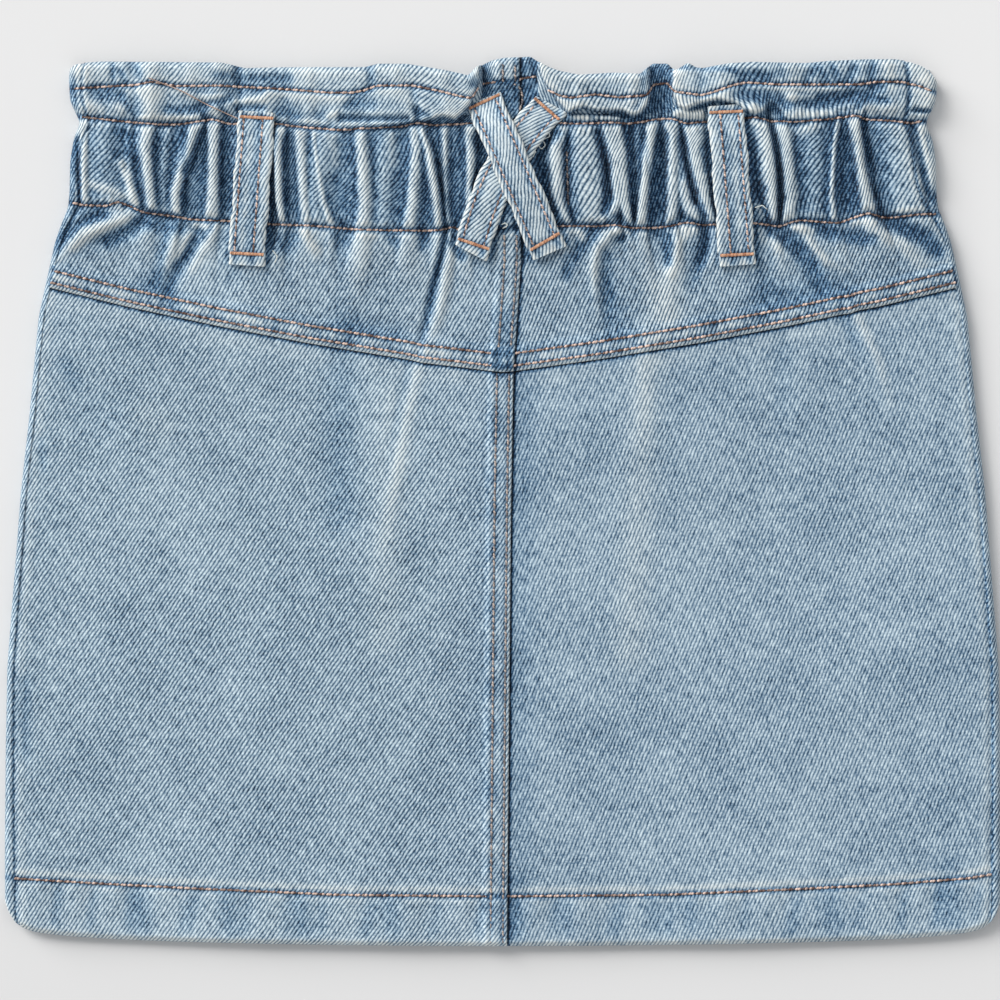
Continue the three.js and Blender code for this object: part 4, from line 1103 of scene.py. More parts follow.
def belt_loop(name, sizes, material):
    """A folded strap, closed all round, with its cut ends turned under."""
    lengthwise, across = 120, 26
    width = sizes.loop_width * 1000 / 2
    ring = np.linspace(0, 2 * math.pi, across, endpoint=False)
    # A flat oval section: wide and thin with rounded edges.
    off = width * np.sign(np.cos(ring)) * np.abs(np.cos(ring)) ** 0.55
    side = np.sin(ring)
    upper = np.clip(side, 0, 1) ** 0.45
    lower = np.clip(-side, 0, 1) ** 0.45
    shares = 0.5 - 0.5 * np.cos(np.linspace(0, math.pi, lengthwise))
    points = []
    for k, share in enumerate(shares):
        wander = 0.22 * math.sin(share * 17 + len(name)) + 0.12 * math.sin(share * 41)
        end = min(k, lengthwise - 1 - k)
        narrow = 1 - 0.1 * math.exp(-end / 2.5) + 0.015 * math.sin(share * 63 + len(name))
        x, y = loop_frame(name, share, off * narrow + wander)
        close = 1.0 if end > 2 else (0.35, 0.75, 0.93)[end]
        low = np.interp(share, STRAP_SHARES, strap_height(name))
        top = strap_top(name, share, off)
        middle = low + 0.9
        above = middle + (top - middle) * upper * close
        below = middle - 0.85 * lower * close
        points.append(np.stack([x, y, np.where(side >= 0, above, below)], axis=1))
    grid = np.array(points)
    count = lengthwise * across
    verts = grid.reshape(-1, 3)
    ends = [verts[:across].mean(axis=0), verts[-across:].mean(axis=0)]
    verts = np.concatenate([verts, ends])
    faces = []
    for i in range(lengthwise - 1):
        for j in range(across):
            n = (j + 1) % across
            faces.append((i * across + j, (i + 1) * across + j, (i + 1) * across + n, i * across + n))
    for j in range(across):
        n = (j + 1) % across
        faces.append((count, j, n))
        last = (lengthwise - 1) * across
        faces.append((count + 1, last + n, last + j))
    length = math.dist(LOOPS[name][0], LOOPS[name][1])
    u = np.append(np.tile(off, lengthwise), [0, 0])
    v = np.append(np.repeat(shares * length, across), [0, length])
    edge = np.abs(u) / width
    wear = 0.55 + 0.27 * smooth(edge, 0.78, 0.92) + stitch_shade(u, LOOPS[name][2], 0.34)
    # Each bartack's sunken band keeps dark dye and is painted dark as shade.
    for tack, skew in TACKS[name]:
        wear = wear - 0.36 * hump(v - tack * length - skew * u, 1.1)
    wear = wear + 0.22 * (hump(v, 1.3) + hump(length - v, 1.0))
    wear = wear + 0.07 * np.sin(v * 0.9 + 2 * np.sin(v * 0.31)) * np.sin(u * 0.8 + v * 0.2)
    mesh = worn_shaded_mesh(name, verts, faces, np.stack([u, v], axis=1), limited(wear), material)
    piece = put_in_scene(name + "_strap", mesh)
    # The faces look outwards whichever way the ring runs.
    middle = verts[:, 2].mean() * MM
    if sum(p.normal.z * p.area for p in mesh.polygons if p.center.z > middle) < 0:
        mesh.flip_normals()
    finish_piece(piece, name)
    return piece


# ---------------------------------------------------------------------- materials


def linear(colour):
    """An sRGB colour, 0 to 1, as scene-linear with alpha."""
    return [c / 12.92 if c <= 0.04045 else ((c + 0.055) / 1.055) ** 2.4 for c in colour[:3]] + [1.0]


class Nodes:
    """Small helper that adds and links shader or geometry nodes."""

    def __init__(self, tree):
        self.tree = tree

    def add(self, kind, inputs=None, **settings):
        node = self.tree.nodes.new(kind)
        for key, value in settings.items():
            setattr(node, key, value)
        for key, value in (inputs or {}).items():
            if isinstance(value, bpy.types.NodeSocket):
                self.tree.links.new(value, node.inputs[key])
            else:
                node.inputs[key].default_value = value
        return node

    def math(self, operation, a, b=0.0, c=0.0):
        return self.add("ShaderNodeMath", {0: a, 1: b, 2: c}, operation=operation).outputs[0]

    def mix(self, factor, first, second, blend="MIX"):
        """Two colours mixed by a factor."""
        inputs = {0: factor, 6: first, 7: second}
        return self.add("ShaderNodeMix", inputs, data_type="RGBA", blend_type=blend).outputs[2]

    def ranged(self, value, low, high, least=0.0):
        """A value stretched from low and high to least and 1, and held between them."""
        inputs = {"Value": value, "From Min": low, "From Max": high, "To Min": least}
        return self.add("ShaderNodeMapRange", inputs, clamp=True).outputs[0]


def node_group(name, kind, inputs, outputs):
    group = bpy.data.node_groups.new(name, kind)
    for label, socket, default in inputs:
        made = group.interface.new_socket(label, in_out="INPUT", socket_type=socket)
        if default is not None:
            made.default_value = default
    for label, socket in outputs:
        group.interface.new_socket(label, in_out="OUTPUT", socket_type=socket)
    nodes = Nodes(group)
    return group, nodes, nodes.add("NodeGroupInput"), nodes.add("NodeGroupOutput")


def twill_group():
    """Slanting twill lines with uneven yarns. Coordinates and sizes are in metres."""
    if "Twill Weave" in bpy.data.node_groups:
        return bpy.data.node_groups["Twill Weave"]
    group, n, given, out = node_group(
        "Twill Weave", "ShaderNodeTree",
        [("Vector", "NodeSocketVector", None), ("Angle", "NodeSocketFloat", 1.05),
         ("Pitch", "NodeSocketFloat", 0.00113), ("Unevenness", "NodeSocketFloat", 0.5)],
        [("Line", "NodeSocketFloat"), ("Fleck", "NodeSocketFloat"), ("Height", "NodeSocketFloat")],
    )  # fmt: skip
    vector = given.outputs["Vector"]
    split = n.add("ShaderNodeSeparateXYZ", {0: vector})
    drift = n.add("ShaderNodeTexNoise", {"Vector": vector, "Scale": 210.0, "Detail": 2.0})
    wobble = n.math("MULTIPLY_ADD", drift.outputs["Fac"], 0.0007, -0.00035)
    sine = n.math("SINE", given.outputs["Angle"])
    cosine = n.math("COSINE", given.outputs["Angle"])
    across = n.math("SUBTRACT", n.math("MULTIPLY", split.outputs["X"], sine),
                    n.math("MULTIPLY", split.outputs["Y"], cosine))
    across = n.math("ADD", across, wobble)
    turns = n.math("DIVIDE", across, given.outputs["Pitch"])
    wave = n.math("SINE", n.math("MULTIPLY", turns, 2 * math.pi))
    # The ridges are broad and the lines between them narrow.
    hollow = n.math("POWER", n.math("MULTIPLY_ADD", wave, -0.5, 0.5), 1.5)
    wave = n.math("MULTIPLY_ADD", hollow, -2.0, 0.85)
    warp = n.add("ShaderNodeMapping", {"Vector": vector, "Scale": (1500.0, 330.0, 1.0)})
    warp_noise = n.add("ShaderNodeTexNoise", {"Vector": warp.outputs[0], "Scale": 1.0, "Detail": 2.0})
    weft = n.add("ShaderNodeMapping", {"Vector": vector, "Scale": (620.0, 1500.0, 1.0)})
    weft_noise = n.add("ShaderNodeTexNoise", {"Vector": weft.outputs[0], "Scale": 1.0, "Detail": 1.0})
    warp_part = n.math("SUBTRACT", warp_noise.outputs["Fac"], 0.5)
    weft_part = n.math("SUBTRACT", weft_noise.outputs["Fac"], 0.5)
    fleck = n.math("ADD", n.math("MULTIPLY", warp_part, 1.3), n.math("MULTIPLY", weft_part, 0.9))
    uneven = n.math("MULTIPLY_ADD", fleck, given.outputs["Unevenness"], 0.0)
    line = n.math("MULTIPLY", wave, n.math("MULTIPLY_ADD", weft_part, 1.3, 0.9))
    n.tree.links.new(line, out.inputs["Line"])
    n.tree.links.new(fleck, out.inputs["Fleck"])
    n.tree.links.new(n.math("ADD", n.math("MULTIPLY", line, 0.5), uneven), out.inputs["Height"])
    return group


def wash_group():
    """Indigo that has washed out: pale where worn, dark where sheltered and where shade is painted in, and
    mottled.
    """
    if "Washed Indigo" in bpy.data.node_groups:
        return bpy.data.node_groups["Washed Indigo"]
    group, n, given, out = node_group(
        "Washed Indigo", "ShaderNodeTree",
        [("Wear", "NodeSocketFloat", 0.5), ("Line", "NodeSocketFloat", 0.0),
         ("Fleck", "NodeSocketFloat", 0.0), ("Position", "NodeSocketVector", None),
         ("Line Contrast", "NodeSocketFloat", 0.1), ("Fleck Contrast", "NodeSocketFloat", 0.3),
         ("Mottle", "NodeSocketFloat", 0.12), ("Shade", "NodeSocketFloat", 0.0),
         ("Dark", "NodeSocketColor", (0.01, 0.02, 0.05, 1)),
         ("Deep", "NodeSocketColor", (0.07, 0.13, 0.2, 1)),
         ("Mid", "NodeSocketColor", (0.27, 0.36, 0.45, 1)),
         ("Pale", "NodeSocketColor", (0.65, 0.72, 0.78, 1)),
         ("Sheltered Tint", "NodeSocketColor", (0.82, 1, 1.14, 1)),
         ("Worn Tint", "NodeSocketColor", (1.09, 1, 0.92, 1))],
        [("Color", "NodeSocketColor"), ("Tone", "NodeSocketFloat")],
    )  # fmt: skip
    position = given.outputs["Position"]
    wear = given.outputs["Wear"]
    tone = n.math("ADD", wear, given.outputs["Shade"])
    # The weave shows most where it has been rubbed; sheltered cloth is only flecked.
    line = n.math("MULTIPLY", given.outputs["Line Contrast"], n.math("MULTIPLY_ADD", wear, 1.1, 0.45))
    fleck = n.math("MULTIPLY", given.outputs["Fleck Contrast"], n.math("MULTIPLY_ADD", wear, -0.9, 1.45))
    tone = n.math("MULTIPLY_ADD", given.outputs["Line"], line, tone)
    tone = n.math("MULTIPLY_ADD", given.outputs["Fleck"], fleck, tone)
    for scale, share in ((22.0, 0.8), (95.0, 0.9), (380.0, 0.8)):
        patch = n.add("ShaderNodeTexNoise", {"Vector": position, "Scale": scale, "Detail": 3.0})
        part = n.math("MULTIPLY", n.math("SUBTRACT", patch.outputs["Fac"], 0.5), share)
        tone = n.math("MULTIPLY_ADD", part, given.outputs["Mottle"], tone)
    tone = n.math("MINIMUM", n.math("MAXIMUM", tone, 0.0), 1.0)
    colour = given.outputs["Dark"]
    for stop, low, high in (("Deep", 0.0, 0.27), ("Mid", 0.2, 0.55), ("Pale", 0.5, 1.0)):
        colour = n.mix(n.ranged(tone, low, high), colour, given.outputs[stop])
    # Sheltered cloth is bluer, and worn cloth creamier, than its lightness alone would make it.
    tint = n.mix(n.ranged(wear, 0.2, 0.8), given.outputs["Sheltered Tint"], given.outputs["Worn Tint"])
    colour = n.mix(1.0, colour, tint, "MULTIPLY")
    # The deepest creases get hardly any light.
    colour = n.mix(1.0, colour, n.ranged(wear, 0.0, 0.1, 0.3), "MULTIPLY")
    n.tree.links.new(colour, out.inputs["Color"])
    n.tree.links.new(tone, out.inputs["Tone"])
    return group


def new_material(name, roughness, specular):
    """A material with its finish set, the helper for its nodes and its shader."""
    material = bpy.data.materials.new(name)
    material.use_nodes = True
    shader = material.node_tree.nodes["Principled BSDF"]
    shader.inputs["Roughness"].default_value = roughness
    shader.inputs["Specular IOR Level"].default_value = specular
    return material, Nodes(material.node_tree), shader


def denim(name, colours, angle, line, fleck, mottle, shade=0.0, pitch=0.00113):
    """Washed denim whose weave follows the piece's own cloth coordinates."""
    material, n, shader = new_material(name, 0.9, 0.18)
    shader.inputs["Sheen Weight"].default_value = 0.12
    shader.inputs["Sheen Roughness"].default_value = 0.5
    uv = n.add("ShaderNodeUVMap", uv_map="Cloth").outputs["UV"]
    place = n.add("ShaderNodeTexCoord").outputs["Object"]
    wear = n.add("ShaderNodeAttribute", attribute_name="wear").outputs["Fac"]
    twill = n.add("ShaderNodeGroup", node_tree=twill_group())
    wash = n.add("ShaderNodeGroup", node_tree=wash_group())
    link = material.node_tree.links.new
    link(uv, twill.inputs["Vector"])
    twill.inputs["Angle"].default_value = angle
    twill.inputs["Pitch"].default_value = pitch
    link(wear, wash.inputs["Wear"])
    link(twill.outputs["Line"], wash.inputs["Line"])
    link(twill.outputs["Fleck"], wash.inputs["Fleck"])
    link(place, wash.inputs["Position"])
    amounts = {"Line Contrast": line, "Fleck Contrast": fleck, "Mottle": mottle, "Shade": shade}
    for label, value in amounts.items():
        wash.inputs[label].default_value = value
    for label in ("Dark", "Deep", "Mid", "Pale"):
        wash.inputs[label].default_value = linear(getattr(colours, label.lower()))
    link(wash.outputs["Color"], shader.inputs["Base Color"])
    relief = n.add("ShaderNodeBump", {"Strength": 0.35, "Distance": 0.00025})
    link(twill.outputs["Height"], relief.inputs["Height"])
    link(relief.outputs["Normal"], shader.inputs["Normal"])
    return material


def thread(name, fresh, faded):
    """Topstitching thread: two colours mixed by how faded each stitch is, and darker as painted shade where
    it dips, with a twist.
    """
    material, n, shader = new_material(name, 0.7, 0.25)
    link = material.node_tree.links.new
    place = n.add("ShaderNodeTexCoord").outputs["Object"]
    fade = n.add("ShaderNodeAttribute", attribute_name="fade").outputs["Fac"]
    fibre = n.add("ShaderNodeTexNoise", {"Vector": place, "Scale": 1500.0, "Detail": 2.0})
    level = n.math("MULTIPLY_ADD", fibre.outputs["Fac"], 0.5, n.math("SUBTRACT", fade, 0.25))
    link(n.mix(level, linear(fresh), linear(faded)), shader.inputs["Base Color"])
    relief = n.add("ShaderNodeBump", {"Strength": 0.3, "Distance": 0.0001})
    link(fibre.outputs["Fac"], relief.inputs["Height"])
    link(relief.outputs["Normal"], shader.inputs["Normal"])
    return material


# ---------------------------------------------------------------------- stitching


def stitch_tree():
    """Geometry Nodes: a row of stitches along a curve, each one a small rounded bar."""
    if "Row of Stitches" in bpy.data.node_groups:
        return bpy.data.node_groups["Row of Stitches"]
    group, n, given, out = node_group(
        "Row of Stitches", "GeometryNodeTree",
        [("Geometry", "NodeSocketGeometry", None), ("Spacing", "NodeSocketFloat", 0.0028),
         ("Stitch Length", "NodeSocketFloat", 0.0023), ("Thread Radius", "NodeSocketFloat", 0.0003),
         ("Turn", "NodeSocketFloat", 0.0), ("Unevenness", "NodeSocketFloat", 0.1),
         ("Least Fade", "NodeSocketFloat", 0.3), ("Most Fade", "NodeSocketFloat", 0.9),
         ("Dip", "NodeSocketFloat", 0.0), ("Seed", "NodeSocketInt", 1),
         ("Material", "NodeSocketMaterial", None)],
        [("Geometry", "NodeSocketGeometry")],
    )  # fmt: skip
    seed = given.outputs["Seed"]

    def random(low, high, offset):
        """A number between low and high, a new one for each stitch."""
        inputs = {"Seed": n.math("ADD", seed, offset), 2: low, 3: high}
        return n.add("FunctionNodeRandomValue", inputs, data_type="FLOAT").outputs[1]

    line = {"Curve": given.outputs["Geometry"], "Length": given.outputs["Spacing"]}
    points = n.add("GeometryNodeCurveToPoints", line, mode="LENGTH")
    jitter = n.math("MULTIPLY", random(-1.0, 1.0, 0.0), given.outputs["Unevenness"])
    turn = {"Vector": points.outputs["Tangent"], "Angle": n.math("ADD", given.outputs["Turn"], jitter)}
    turned = n.add("ShaderNodeVectorRotate", turn, rotation_type="Z_AXIS")
    align = n.add("FunctionNodeAlignRotationToVector", {"Vector": turned.outputs[0]}, axis="Z")
    ball = n.add("GeometryNodeMeshUVSphere", {"Segments": 8, "Rings": 6, "Radius": 1.0})
    # The thread dips into the cloth between one stitch and the next, at every third twist.
    twist = n.math("MODULO", n.add("GeometryNodeInputIndex").outputs[0], 3.0)
    dip = n.math("MULTIPLY", n.math("GREATER_THAN", twist, 1.5), given.outputs["Dip"])
    thickness = n.math("MULTIPLY", given.outputs["Thread Radius"], n.math("MULTIPLY_ADD", dip, -0.5, 1.0))
    half = n.math("MULTIPLY", given.outputs["Stitch Length"], 0.5)
    shown = n.math("MULTIPLY", half, n.math("MULTIPLY_ADD", dip, -0.4, 1.0))
    length = n.math("MULTIPLY", shown, random(0.86, 1.08, 7.0))
    size = n.add("ShaderNodeCombineXYZ", {0: thickness, 1: thickness, 2: length})
    placed = n.add("GeometryNodeInstanceOnPoints", {
        "Points": points.outputs["Points"], "Instance": ball.outputs["Mesh"],
        "Rotation": align.outputs[0], "Scale": size.outputs[0],
    })  # fmt: skip
    fade = random(given.outputs["Least Fade"], given.outputs["Most Fade"], 13.0)
    # The dipping twist is painted darker, as shade in the dip.
    fade = n.math("MULTIPLY_ADD", dip, -0.7, fade)
    stored = {"Geometry": placed.outputs[0], "Name": "fade", "Value": fade}
    store = n.add("GeometryNodeStoreNamedAttribute", stored, data_type="FLOAT", domain="INSTANCE")
    real = n.add("GeometryNodeRealizeInstances", {0: store.outputs[0]})
    soft = n.add("GeometryNodeSetShadeSmooth", {0: real.outputs[0]})
    finish = {"Geometry": soft.outputs[0], "Material": given.outputs["Material"]}
    n.tree.links.new(n.add("GeometryNodeSetMaterial", finish).outputs[0], out.inputs[0])
    return group


def stitch_rows(name, rows, settings, material, seed):
    """Turns paths of points, in millimetres, into one mesh of stitches."""
    curve = bpy.data.curves.new(name, "CURVE")
    curve.dimensions = "3D"
    for row in rows:
        spline = curve.splines.new("POLY")
        spline.points.add(len(row) - 1)
        flat = np.concatenate([np.asarray(row) * MM, np.ones((len(row), 1))], axis=1)
        spline.points.foreach_set("co", flat.astype(np.float32).ravel())
    source = put_in_scene(name + "_path", curve)
    modifier = source.modifiers.new("Stitches", "NODES")
    tree = stitch_tree()
    modifier.node_group = tree
    values = dict(settings, Seed=seed, Material=material)
    for item in tree.interface.items_tree:
        if item.in_out == "INPUT" and item.name in values:
            modifier[item.identifier] = values[item.name]
    ready = source.evaluated_get(bpy.context.evaluated_depsgraph_get())
    mesh = bpy.data.meshes.new_from_object(ready)
    bpy.data.objects.remove(source)
    if not mesh.polygons:
        raise RuntimeError(name + " has no stitches")
    mesh.name = name
    return finish_piece(put_in_scene(name, mesh))


def on_cloth(x, y, lift):
    """Points a little above the cloth, for a row of stitches."""
    return np.stack([x, y, lay().at(x, y)[0] + lift], axis=1)


# ---------------------------------------------------------------------- settings


def colour_property(label, text, value):
    return FloatVectorProperty(name=label, description=text, default=value,
                               subtype="COLOR", size=3, min=0, max=1)


class SkirtCloth(bpy.types.PropertyGroup):
    thickness: FloatProperty(name="Cloth Thickness", description="Thickness of one layer of denim",
                             default=0.0011, min=0.0005, max=0.003, unit="LENGTH")
    hem: FloatProperty(name="Hem Depth", description="Depth of the turned-up hem",
                       default=0.0165, min=0.005, max=0.04, unit="LENGTH")
    loop_width: FloatProperty(name="Belt Loop Width", description="Width of each belt loop",
                              default=0.0122, min=0.006, max=0.02, unit="LENGTH")
    pleat_height: FloatProperty(name="Pleat Height", description="How tall the waist's pleats stand",
                                default=1.0, min=0.2, max=1.5, subtype="FACTOR")
    wear_and_shade_contrast: FloatProperty(name="Wear Contrast", description="How much paler ridges are than hollows",
                                 default=1.0, min=0.0, max=2.0, subtype="FACTOR")


class SkirtColours(bpy.types.PropertyGroup):
    dark: colour_property("Dark Indigo", "Cloth in the deepest folds", (0.08, 0.155, 0.23))
    deep: colour_property("Deep Indigo", "Cloth between pleats", (0.26, 0.385, 0.49))
    mid: colour_property("Washed Blue", "Most of the cloth", (0.566, 0.635, 0.688))
    pale: colour_property("Worn Blue", "Cloth on ridges and edges", (0.86, 0.908, 0.926))
    thread: colour_property("Thread", "Topstitching where it has kept its colour", (0.36, 0.27, 0.24))
    faded_thread: colour_property("Faded Thread", "Topstitching that has washed out", (0.89, 0.78, 0.72))


class SkirtStitching(bpy.types.PropertyGroup):
    spacing: FloatProperty(name="Spacing", description="From one twist of the thread to the next",
                           default=0.00079, min=0.0005, max=0.006, unit="LENGTH")
    length: FloatProperty(name="Stitch Length", description="Length of one twist of the thread that shows",
                          default=0.00118, min=0.0005, max=0.005, unit="LENGTH")
    radius: FloatProperty(name="Thread Radius", description="Half the thickness of the thread",
                          default=0.00042, min=0.0001, max=0.001, unit="LENGTH")
    seed: IntProperty(name="Seed", description="Changes the unevenness of the stitches", default=4, min=0)


class SkirtStage(bpy.types.PropertyGroup):
    floor: colour_property("Table", "Colour of the surface below", (0.9, 0.896, 0.893))
    distance: FloatProperty(name="Camera Height", description="Height of the camera above the table",
                            default=2.4, min=0.5, max=10, unit="LENGTH")
    width: FloatProperty(name="View Width", description="Width seen at the height of the cloth",
                         default=0.33333, min=0.1, max=2, unit="LENGTH")
    key: FloatProperty(name="Key Light", description="Power of the window light, from the upper left",
                       default=0.95, min=0, max=100)
    low_key: FloatProperty(name="Low Light", description="Power of the low light from the upper left",
                           default=2.5, min=0, max=100)
    fill: FloatProperty(name="Fill Light", description="Strength of the light from all round",
                        default=0.56, min=0, max=5)


# --------------------------------------------------------------------- operators

_materials = {}


def cloth_material(kind):
    """The denim of one group of pieces, made the first time it is asked for."""
    colours = bpy.context.scene.skirt_colours
    recipes = {
        "panel_left": dict(angle=math.radians(56), line=0.32, fleck=0.64, mottle=0.30, shade=0.01),
        "panel_right": dict(angle=math.radians(67), line=0.25, fleck=0.64, mottle=0.30, shade=-0.005),
        "yoke_left": dict(angle=math.radians(58), line=0.33, fleck=0.66, mottle=0.38, shade=0.0),
        "yoke_right": dict(angle=math.radians(68), line=0.33, fleck=0.66, mottle=0.38, shade=-0.03),
        "loop": dict(angle=math.radians(64), line=0.36, fleck=0.62, mottle=0.42, shade=0.05),
        "front": dict(angle=math.radians(60), line=0.34, fleck=0.62, mottle=0.3, shade=-0.01),
    }
    if kind not in _materials:
        _materials[kind] = denim("Denim " + kind.replace("_", " "), colours, **recipes[kind])
    return _materials[kind]


def thread_material(kind):
    colours = bpy.context.scene.skirt_colours
    pairs = {
        "Copper Thread": (colours.thread, colours.faded_thread),
        "Orange Thread": ((0.66, 0.44, 0.33), (0.88, 0.70, 0.57)),
        "Pale Thread": ((0.42, 0.40, 0.41), (0.74, 0.68, 0.64)),
        "Frayed Thread": ((0.66, 0.70, 0.70), (0.92, 0.93, 0.90)),
    }
    if kind not in _materials:
        _materials[kind] = thread(kind, *pairs[kind])
    return _materials[kind]


class SKIRT_OT_front_panel(bpy.types.Operator):
    """Lay the front panel on the table and roll it up round both sides"""

    bl_idname = "skirt.front_panel"
    bl_label = "Front Panel"

    def execute(self, context):
        piece = front_panel(context.scene.skirt_cloth, cloth_material("front"))
        return {"FINISHED"}


class SKIRT_OT_back_panels(bpy.types.Operator):
    """Lay the two halves of the back, hemmed and joined by a felled centre seam"""

    bl_idname = "skirt.back_panels"
    bl_label = "Back Panels"

    def execute(self, context):
        for side, kind in ((-1, "panel_left"), (1, "panel_right")):
            piece = back_panel(side, context.scene.skirt_cloth, cloth_material(kind))
        return {"FINISHED"}


class SKIRT_OT_back_yokes(bpy.types.Operator):
    """Lay the two halves of the yoke, gathered by the casing and folded into a ruffle"""

    bl_idname = "skirt.back_yokes"
    bl_label = "Back Yokes"

    def execute(self, context):
        for side, kind in ((-1, "yoke_left"), (1, "yoke_right")):
            piece = back_yoke(side, context.scene.skirt_cloth, cloth_material(kind))
        return {"FINISHED"}


class SKIRT_OT_belt_loops(bpy.types.Operator):
    """Draw the belt loops tight over the pleats, two straight and two crossed"""

    bl_idname = "skirt.belt_loops"
    bl_label = "Belt Loops"

    def execute(self, context):
        for name in LOOPS:
            piece = belt_loop(name, context.scene.skirt_cloth, cloth_material("loop"))
        return {"FINISHED"}


class SKIRT_OT_topstitching(bpy.types.Operator):
    """Sew the rows of topstitching along the seams, hem, casing and ruffle"""

    bl_idname = "skirt.topstitching"
    bl_label = "Topstitching"

    def execute(self, context):
        sewing = context.scene.skirt_stitching
        row = {"Spacing": sewing.spacing, "Stitch Length": sewing.length, "Thread Radius": sewing.radius,
               "Turn": math.radians(27), "Unevenness": 0.15, "Dip": 1.0}
        faded = dict(row, **{"Least Fade": -0.2, "Most Fade": 1.4})
        bright = dict(row, **{"Least Fade": -0.1, "Most Fade": 1.2})
        copper = thread_material("Copper Thread")
        seed = sewing.seed

        x = np.arange(-162.5, 162.6, 1.0)
        hem = on_cloth(x, hem_stitch(x), 0.12)
        stitch_rows("hem_stitching", [hem], bright, copper, seed)
        y = np.arange(-146.5, 43, 1.0)
        centre = [on_cloth(centre_seam(y) - off, y, 0.92) for off in CENTRE_ROWS]
        for low, high in ((45.5, 89), (140.5, 146.5)):
            y = np.arange(low, high, 1.0)
            centre += [on_cloth(centre_seam(y) - off, y, 0.88) for off in CENTRE_ROWS]
        # The seam's lapped end shows in the hollow of the ruffle.
        turn = eased_path([(1.5, 139.4), (4.4, 139.2), (6.2, 137.4), (6.6, 133.6), (5.4, 130.4)])
        centre.append(on_cloth(turn[:, 0], turn[:, 1], 0.5))
        thin = dict(faded, **{"Thread Radius": sewing.radius * 0.8})
        pale = thread_material("Pale Thread")
        stitch_rows("centre_seam_stitching", centre, thin, pale, seed + 1)
        x = np.arange(-151, 151.1, 0.5)
        yoke = []
        for off in YOKE_ROWS:
            y = yoke_seam(x) + off
            held = (x > left_seam(y) + 0.8) & (x < right_seam(y) - 0.8)
            yoke.append(on_cloth(x[held], y[held], 0.95))
        stitch_rows("yoke_seam_stitching", yoke, bright, copper, seed + 2)
        x = np.arange(-150, 150.1, 0.5)
        rows = []
        for line in (casing_low, casing_high, ruffle_line):
            y = line(x)
            held = np.abs(x) < half_width(y) - 1.9
            rows.append(on_cloth(x[held], y[held], 0.12))
        stitch_rows("waist_stitching", rows, faded, copper, seed + 3)
        rows = []
        for name, (_, _, offs) in LOOPS.items():
            share = np.linspace(TACKS[name][0][0] + 0.02, TACKS[name][1][0] - 0.02, 60)
            for off in offs:
                x, y = loop_frame(name, share, off)
                rows.append(np.stack([x, y, strap_top(name, share, off) + 0.1], axis=1))
        stitch_rows("belt_loop_stitching", rows, thin, copper, seed + 4)

        # A long float of thread that has pulled loose, a line of tacking, and frayed ends.
        fine = dict(row, **{"Spacing": 0.0005, "Stitch Length": 0.0013, "Thread Radius": 0.0002,
                            "Turn": 0.0, "Unevenness": 0.05, "Dip": 0.0,
                            "Least Fade": 0.3, "Most Fade": 0.7})
        loose = eased_path([(-117.5, 141), (-107.5, 137.2), (-101, 133.6), (-95.3, 130.8), (-87.6, 127.4)])
        stitch_rows("loose_thread", [on_cloth(loose[:, 0], loose[:, 1], 0.9)], fine, copper, seed + 5)
        tack = eased_path([(21.3, 116.4), (21.5, 108), (21.7, 99.6)])
        stitch_rows("tacking", [on_cloth(tack[:, 0], tack[:, 1], 0.3)], thin, pale, seed + 6)
        frays = []
        for path in FRAYS:
            path = eased_path(path, 30)
            level = on_cloth(path[:, 0], path[:, 1], 0)[:, 2].max() + 1.2
            frays.append(np.stack([path[:, 0], path[:, 1], np.full(30, level)], axis=1))
        stitch_rows("frayed_ends", frays, fine, thread_material("Frayed Thread"), seed + 7)
        return {"FINISHED"}


class SKIRT_OT_bartacks(bpy.types.Operator):
    """Sew the dense bartacks that hold the belt loops down"""

    bl_idname = "skirt.bartacks"
    bl_label = "Bartacks"

    def execute(self, context):
        sewing = context.scene.skirt_stitching
        bars = []
        for name in LOOPS:
            length = math.dist(LOOPS[name][0], LOOPS[name][1])
            for tack, skew in TACKS[name]:
                off = np.linspace(-5.4, 5.4, 12)
                share = tack + skew * off / length
                x, y = loop_frame(name, share, off)
                bars.append(np.stack([x, y, strap_top(name, share, off) + 0.25], axis=1))
        settings = {"Spacing": 0.00036, "Stitch Length": 0.0012, "Thread Radius": 0.00026,
                    "Turn": math.radians(78), "Unevenness": 0.22, "Dip": 0.0,
                    "Least Fade": 0.0, "Most Fade": 1.0}
        stitch_rows("bartacks", bars, settings, thread_material("Orange Thread"), sewing.seed + 9)
        return {"FINISHED"}


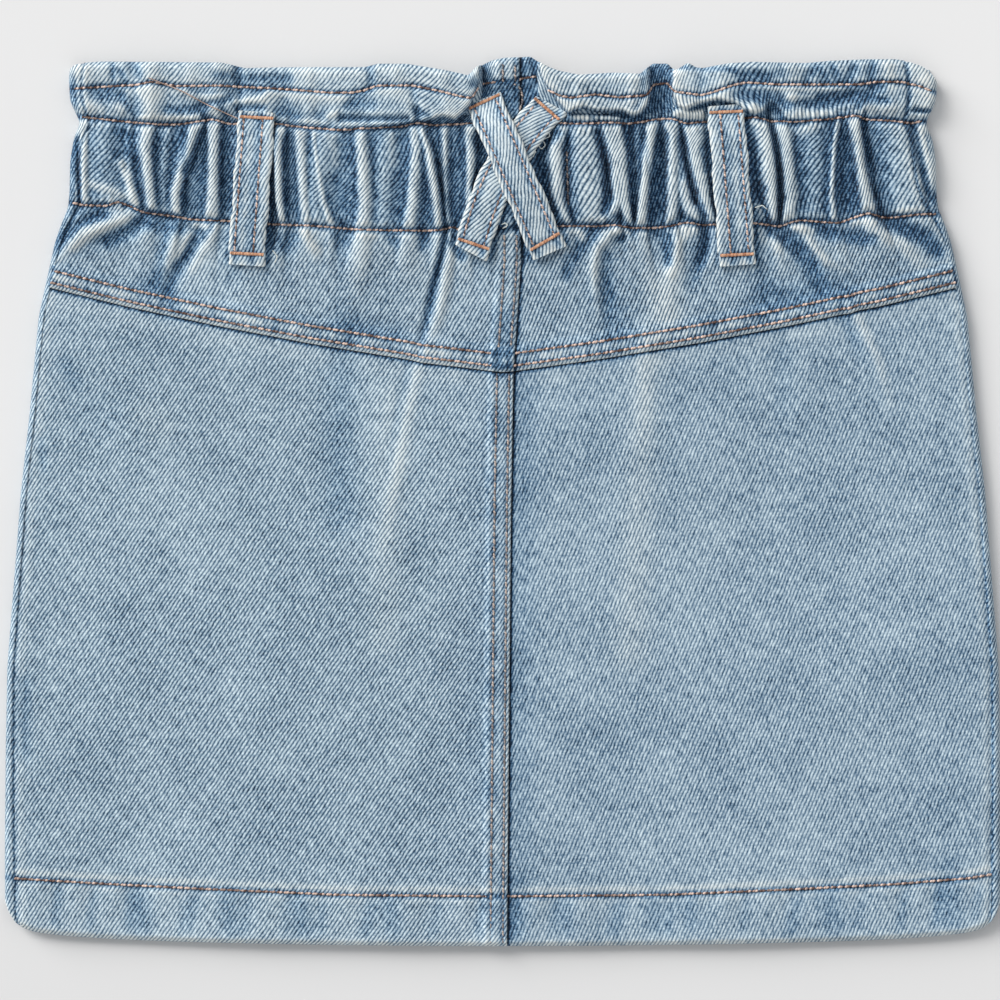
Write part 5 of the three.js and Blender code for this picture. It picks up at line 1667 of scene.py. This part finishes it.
class SKIRT_OT_stage(bpy.types.Operator):
    """Set the pale table, the soft light from the upper left and the camera above"""

    bl_idname = "skirt.stage"
    bl_label = "Table, Light and Camera"

    def execute(self, context):
        stage = context.scene.skirt_stage
        size = 6.0
        mesh = bpy.data.meshes.new("table")
        corners = [(-size, -size, 0), (size, -size, 0), (size, size, 0), (-size, size, 0)]
        mesh.from_pydata(corners, [], [(0, 1, 2, 3)])
        table = put_in_scene("table", mesh)
        material, n, shader = new_material("Pale Table", 0.8, 0.1)
        place = n.add("ShaderNodeSeparateXYZ", {0: n.add("ShaderNodeTexCoord").outputs["Object"]})
        # The light falls off a little towards the hem.
        dimmer = linear([c * 0.965 for c in stage.floor])
        tone = n.mix(n.ranged(place.outputs["Y"], -0.17, 0.02), dimmer, linear(stage.floor))
        n.tree.links.new(tone, shader.inputs["Base Color"])
        mesh.materials.append(material)
        sun = bpy.data.lights.new("window", "SUN")
        sun.energy = stage.key
        sun.angle = math.radians(28)
        sun.color = (1.0, 0.985, 0.965)
        lamp = put_in_scene("window", sun)
        lamp.rotation_euler = (math.radians(-34), math.radians(-36), 0)
        low_sun = bpy.data.lights.new("low_window", "SUN")
        low_sun.energy = stage.low_key
        low_sun.angle = math.radians(40)
        low_lamp = put_in_scene("low_window", low_sun)
        low_lamp.rotation_euler = (math.radians(66), 0, math.radians(-128))
        world = bpy.data.worlds.new("room")
        world.use_nodes = True
        world.node_tree.nodes["Background"].inputs[0].default_value = (0.95, 0.975, 1.0, 1.0)
        world.node_tree.nodes["Background"].inputs[1].default_value = stage.fill
        context.scene.world = world
        context.scene.view_settings.view_transform = "Standard"
        camera = bpy.data.cameras.new("camera")
        camera.sensor_width = 36
        camera.lens = 36 * (stage.distance - 0.006) / stage.width
        camera.clip_end = 50
        eye = put_in_scene("camera", camera)
        eye.location = (-0.001, 0.00067, stage.distance)
        context.scene.camera = eye
        return {"FINISHED"}


class SKIRT_PT_panel(bpy.types.Panel):
    bl_idname = "SKIRT_PT_panel"
    bl_label = "Denim Skirt"
    bl_space_type = "VIEW_3D"
    bl_region_type = "UI"
    bl_category = "Skirt"

    def draw(self, context):
        layout = self.layout
        for step in STEPS:
            layout.operator(step.bl_idname)
        for name in SETTINGS:
            group = getattr(context.scene, name)
            box = layout.box()
            for key in group.__annotations__:
                box.prop(group, key)


STEPS = (
    SKIRT_OT_stage, SKIRT_OT_front_panel, SKIRT_OT_back_panels, SKIRT_OT_back_yokes,
    SKIRT_OT_belt_loops, SKIRT_OT_topstitching, SKIRT_OT_bartacks,
)  # fmt: skip
SETTINGS = {
    "skirt_cloth": SkirtCloth,
    "skirt_colours": SkirtColours,
    "skirt_stitching": SkirtStitching,
    "skirt_stage": SkirtStage,
}


def register():
    for cls in (*SETTINGS.values(), *STEPS, SKIRT_PT_panel):
        bpy.utils.register_class(cls)
    for name, cls in SETTINGS.items():
        setattr(bpy.types.Scene, name, PointerProperty(type=cls))


def unregister():
    for name in SETTINGS:
        delattr(bpy.types.Scene, name)
    for cls in reversed((*SETTINGS.values(), *STEPS, SKIRT_PT_panel)):
        bpy.utils.unregister_class(cls)


def main():
    register()
    for step in STEPS:
        group, name = step.bl_idname.split(".")
        getattr(getattr(bpy.ops, group), name)()


if __name__ == "__main__":
    main()
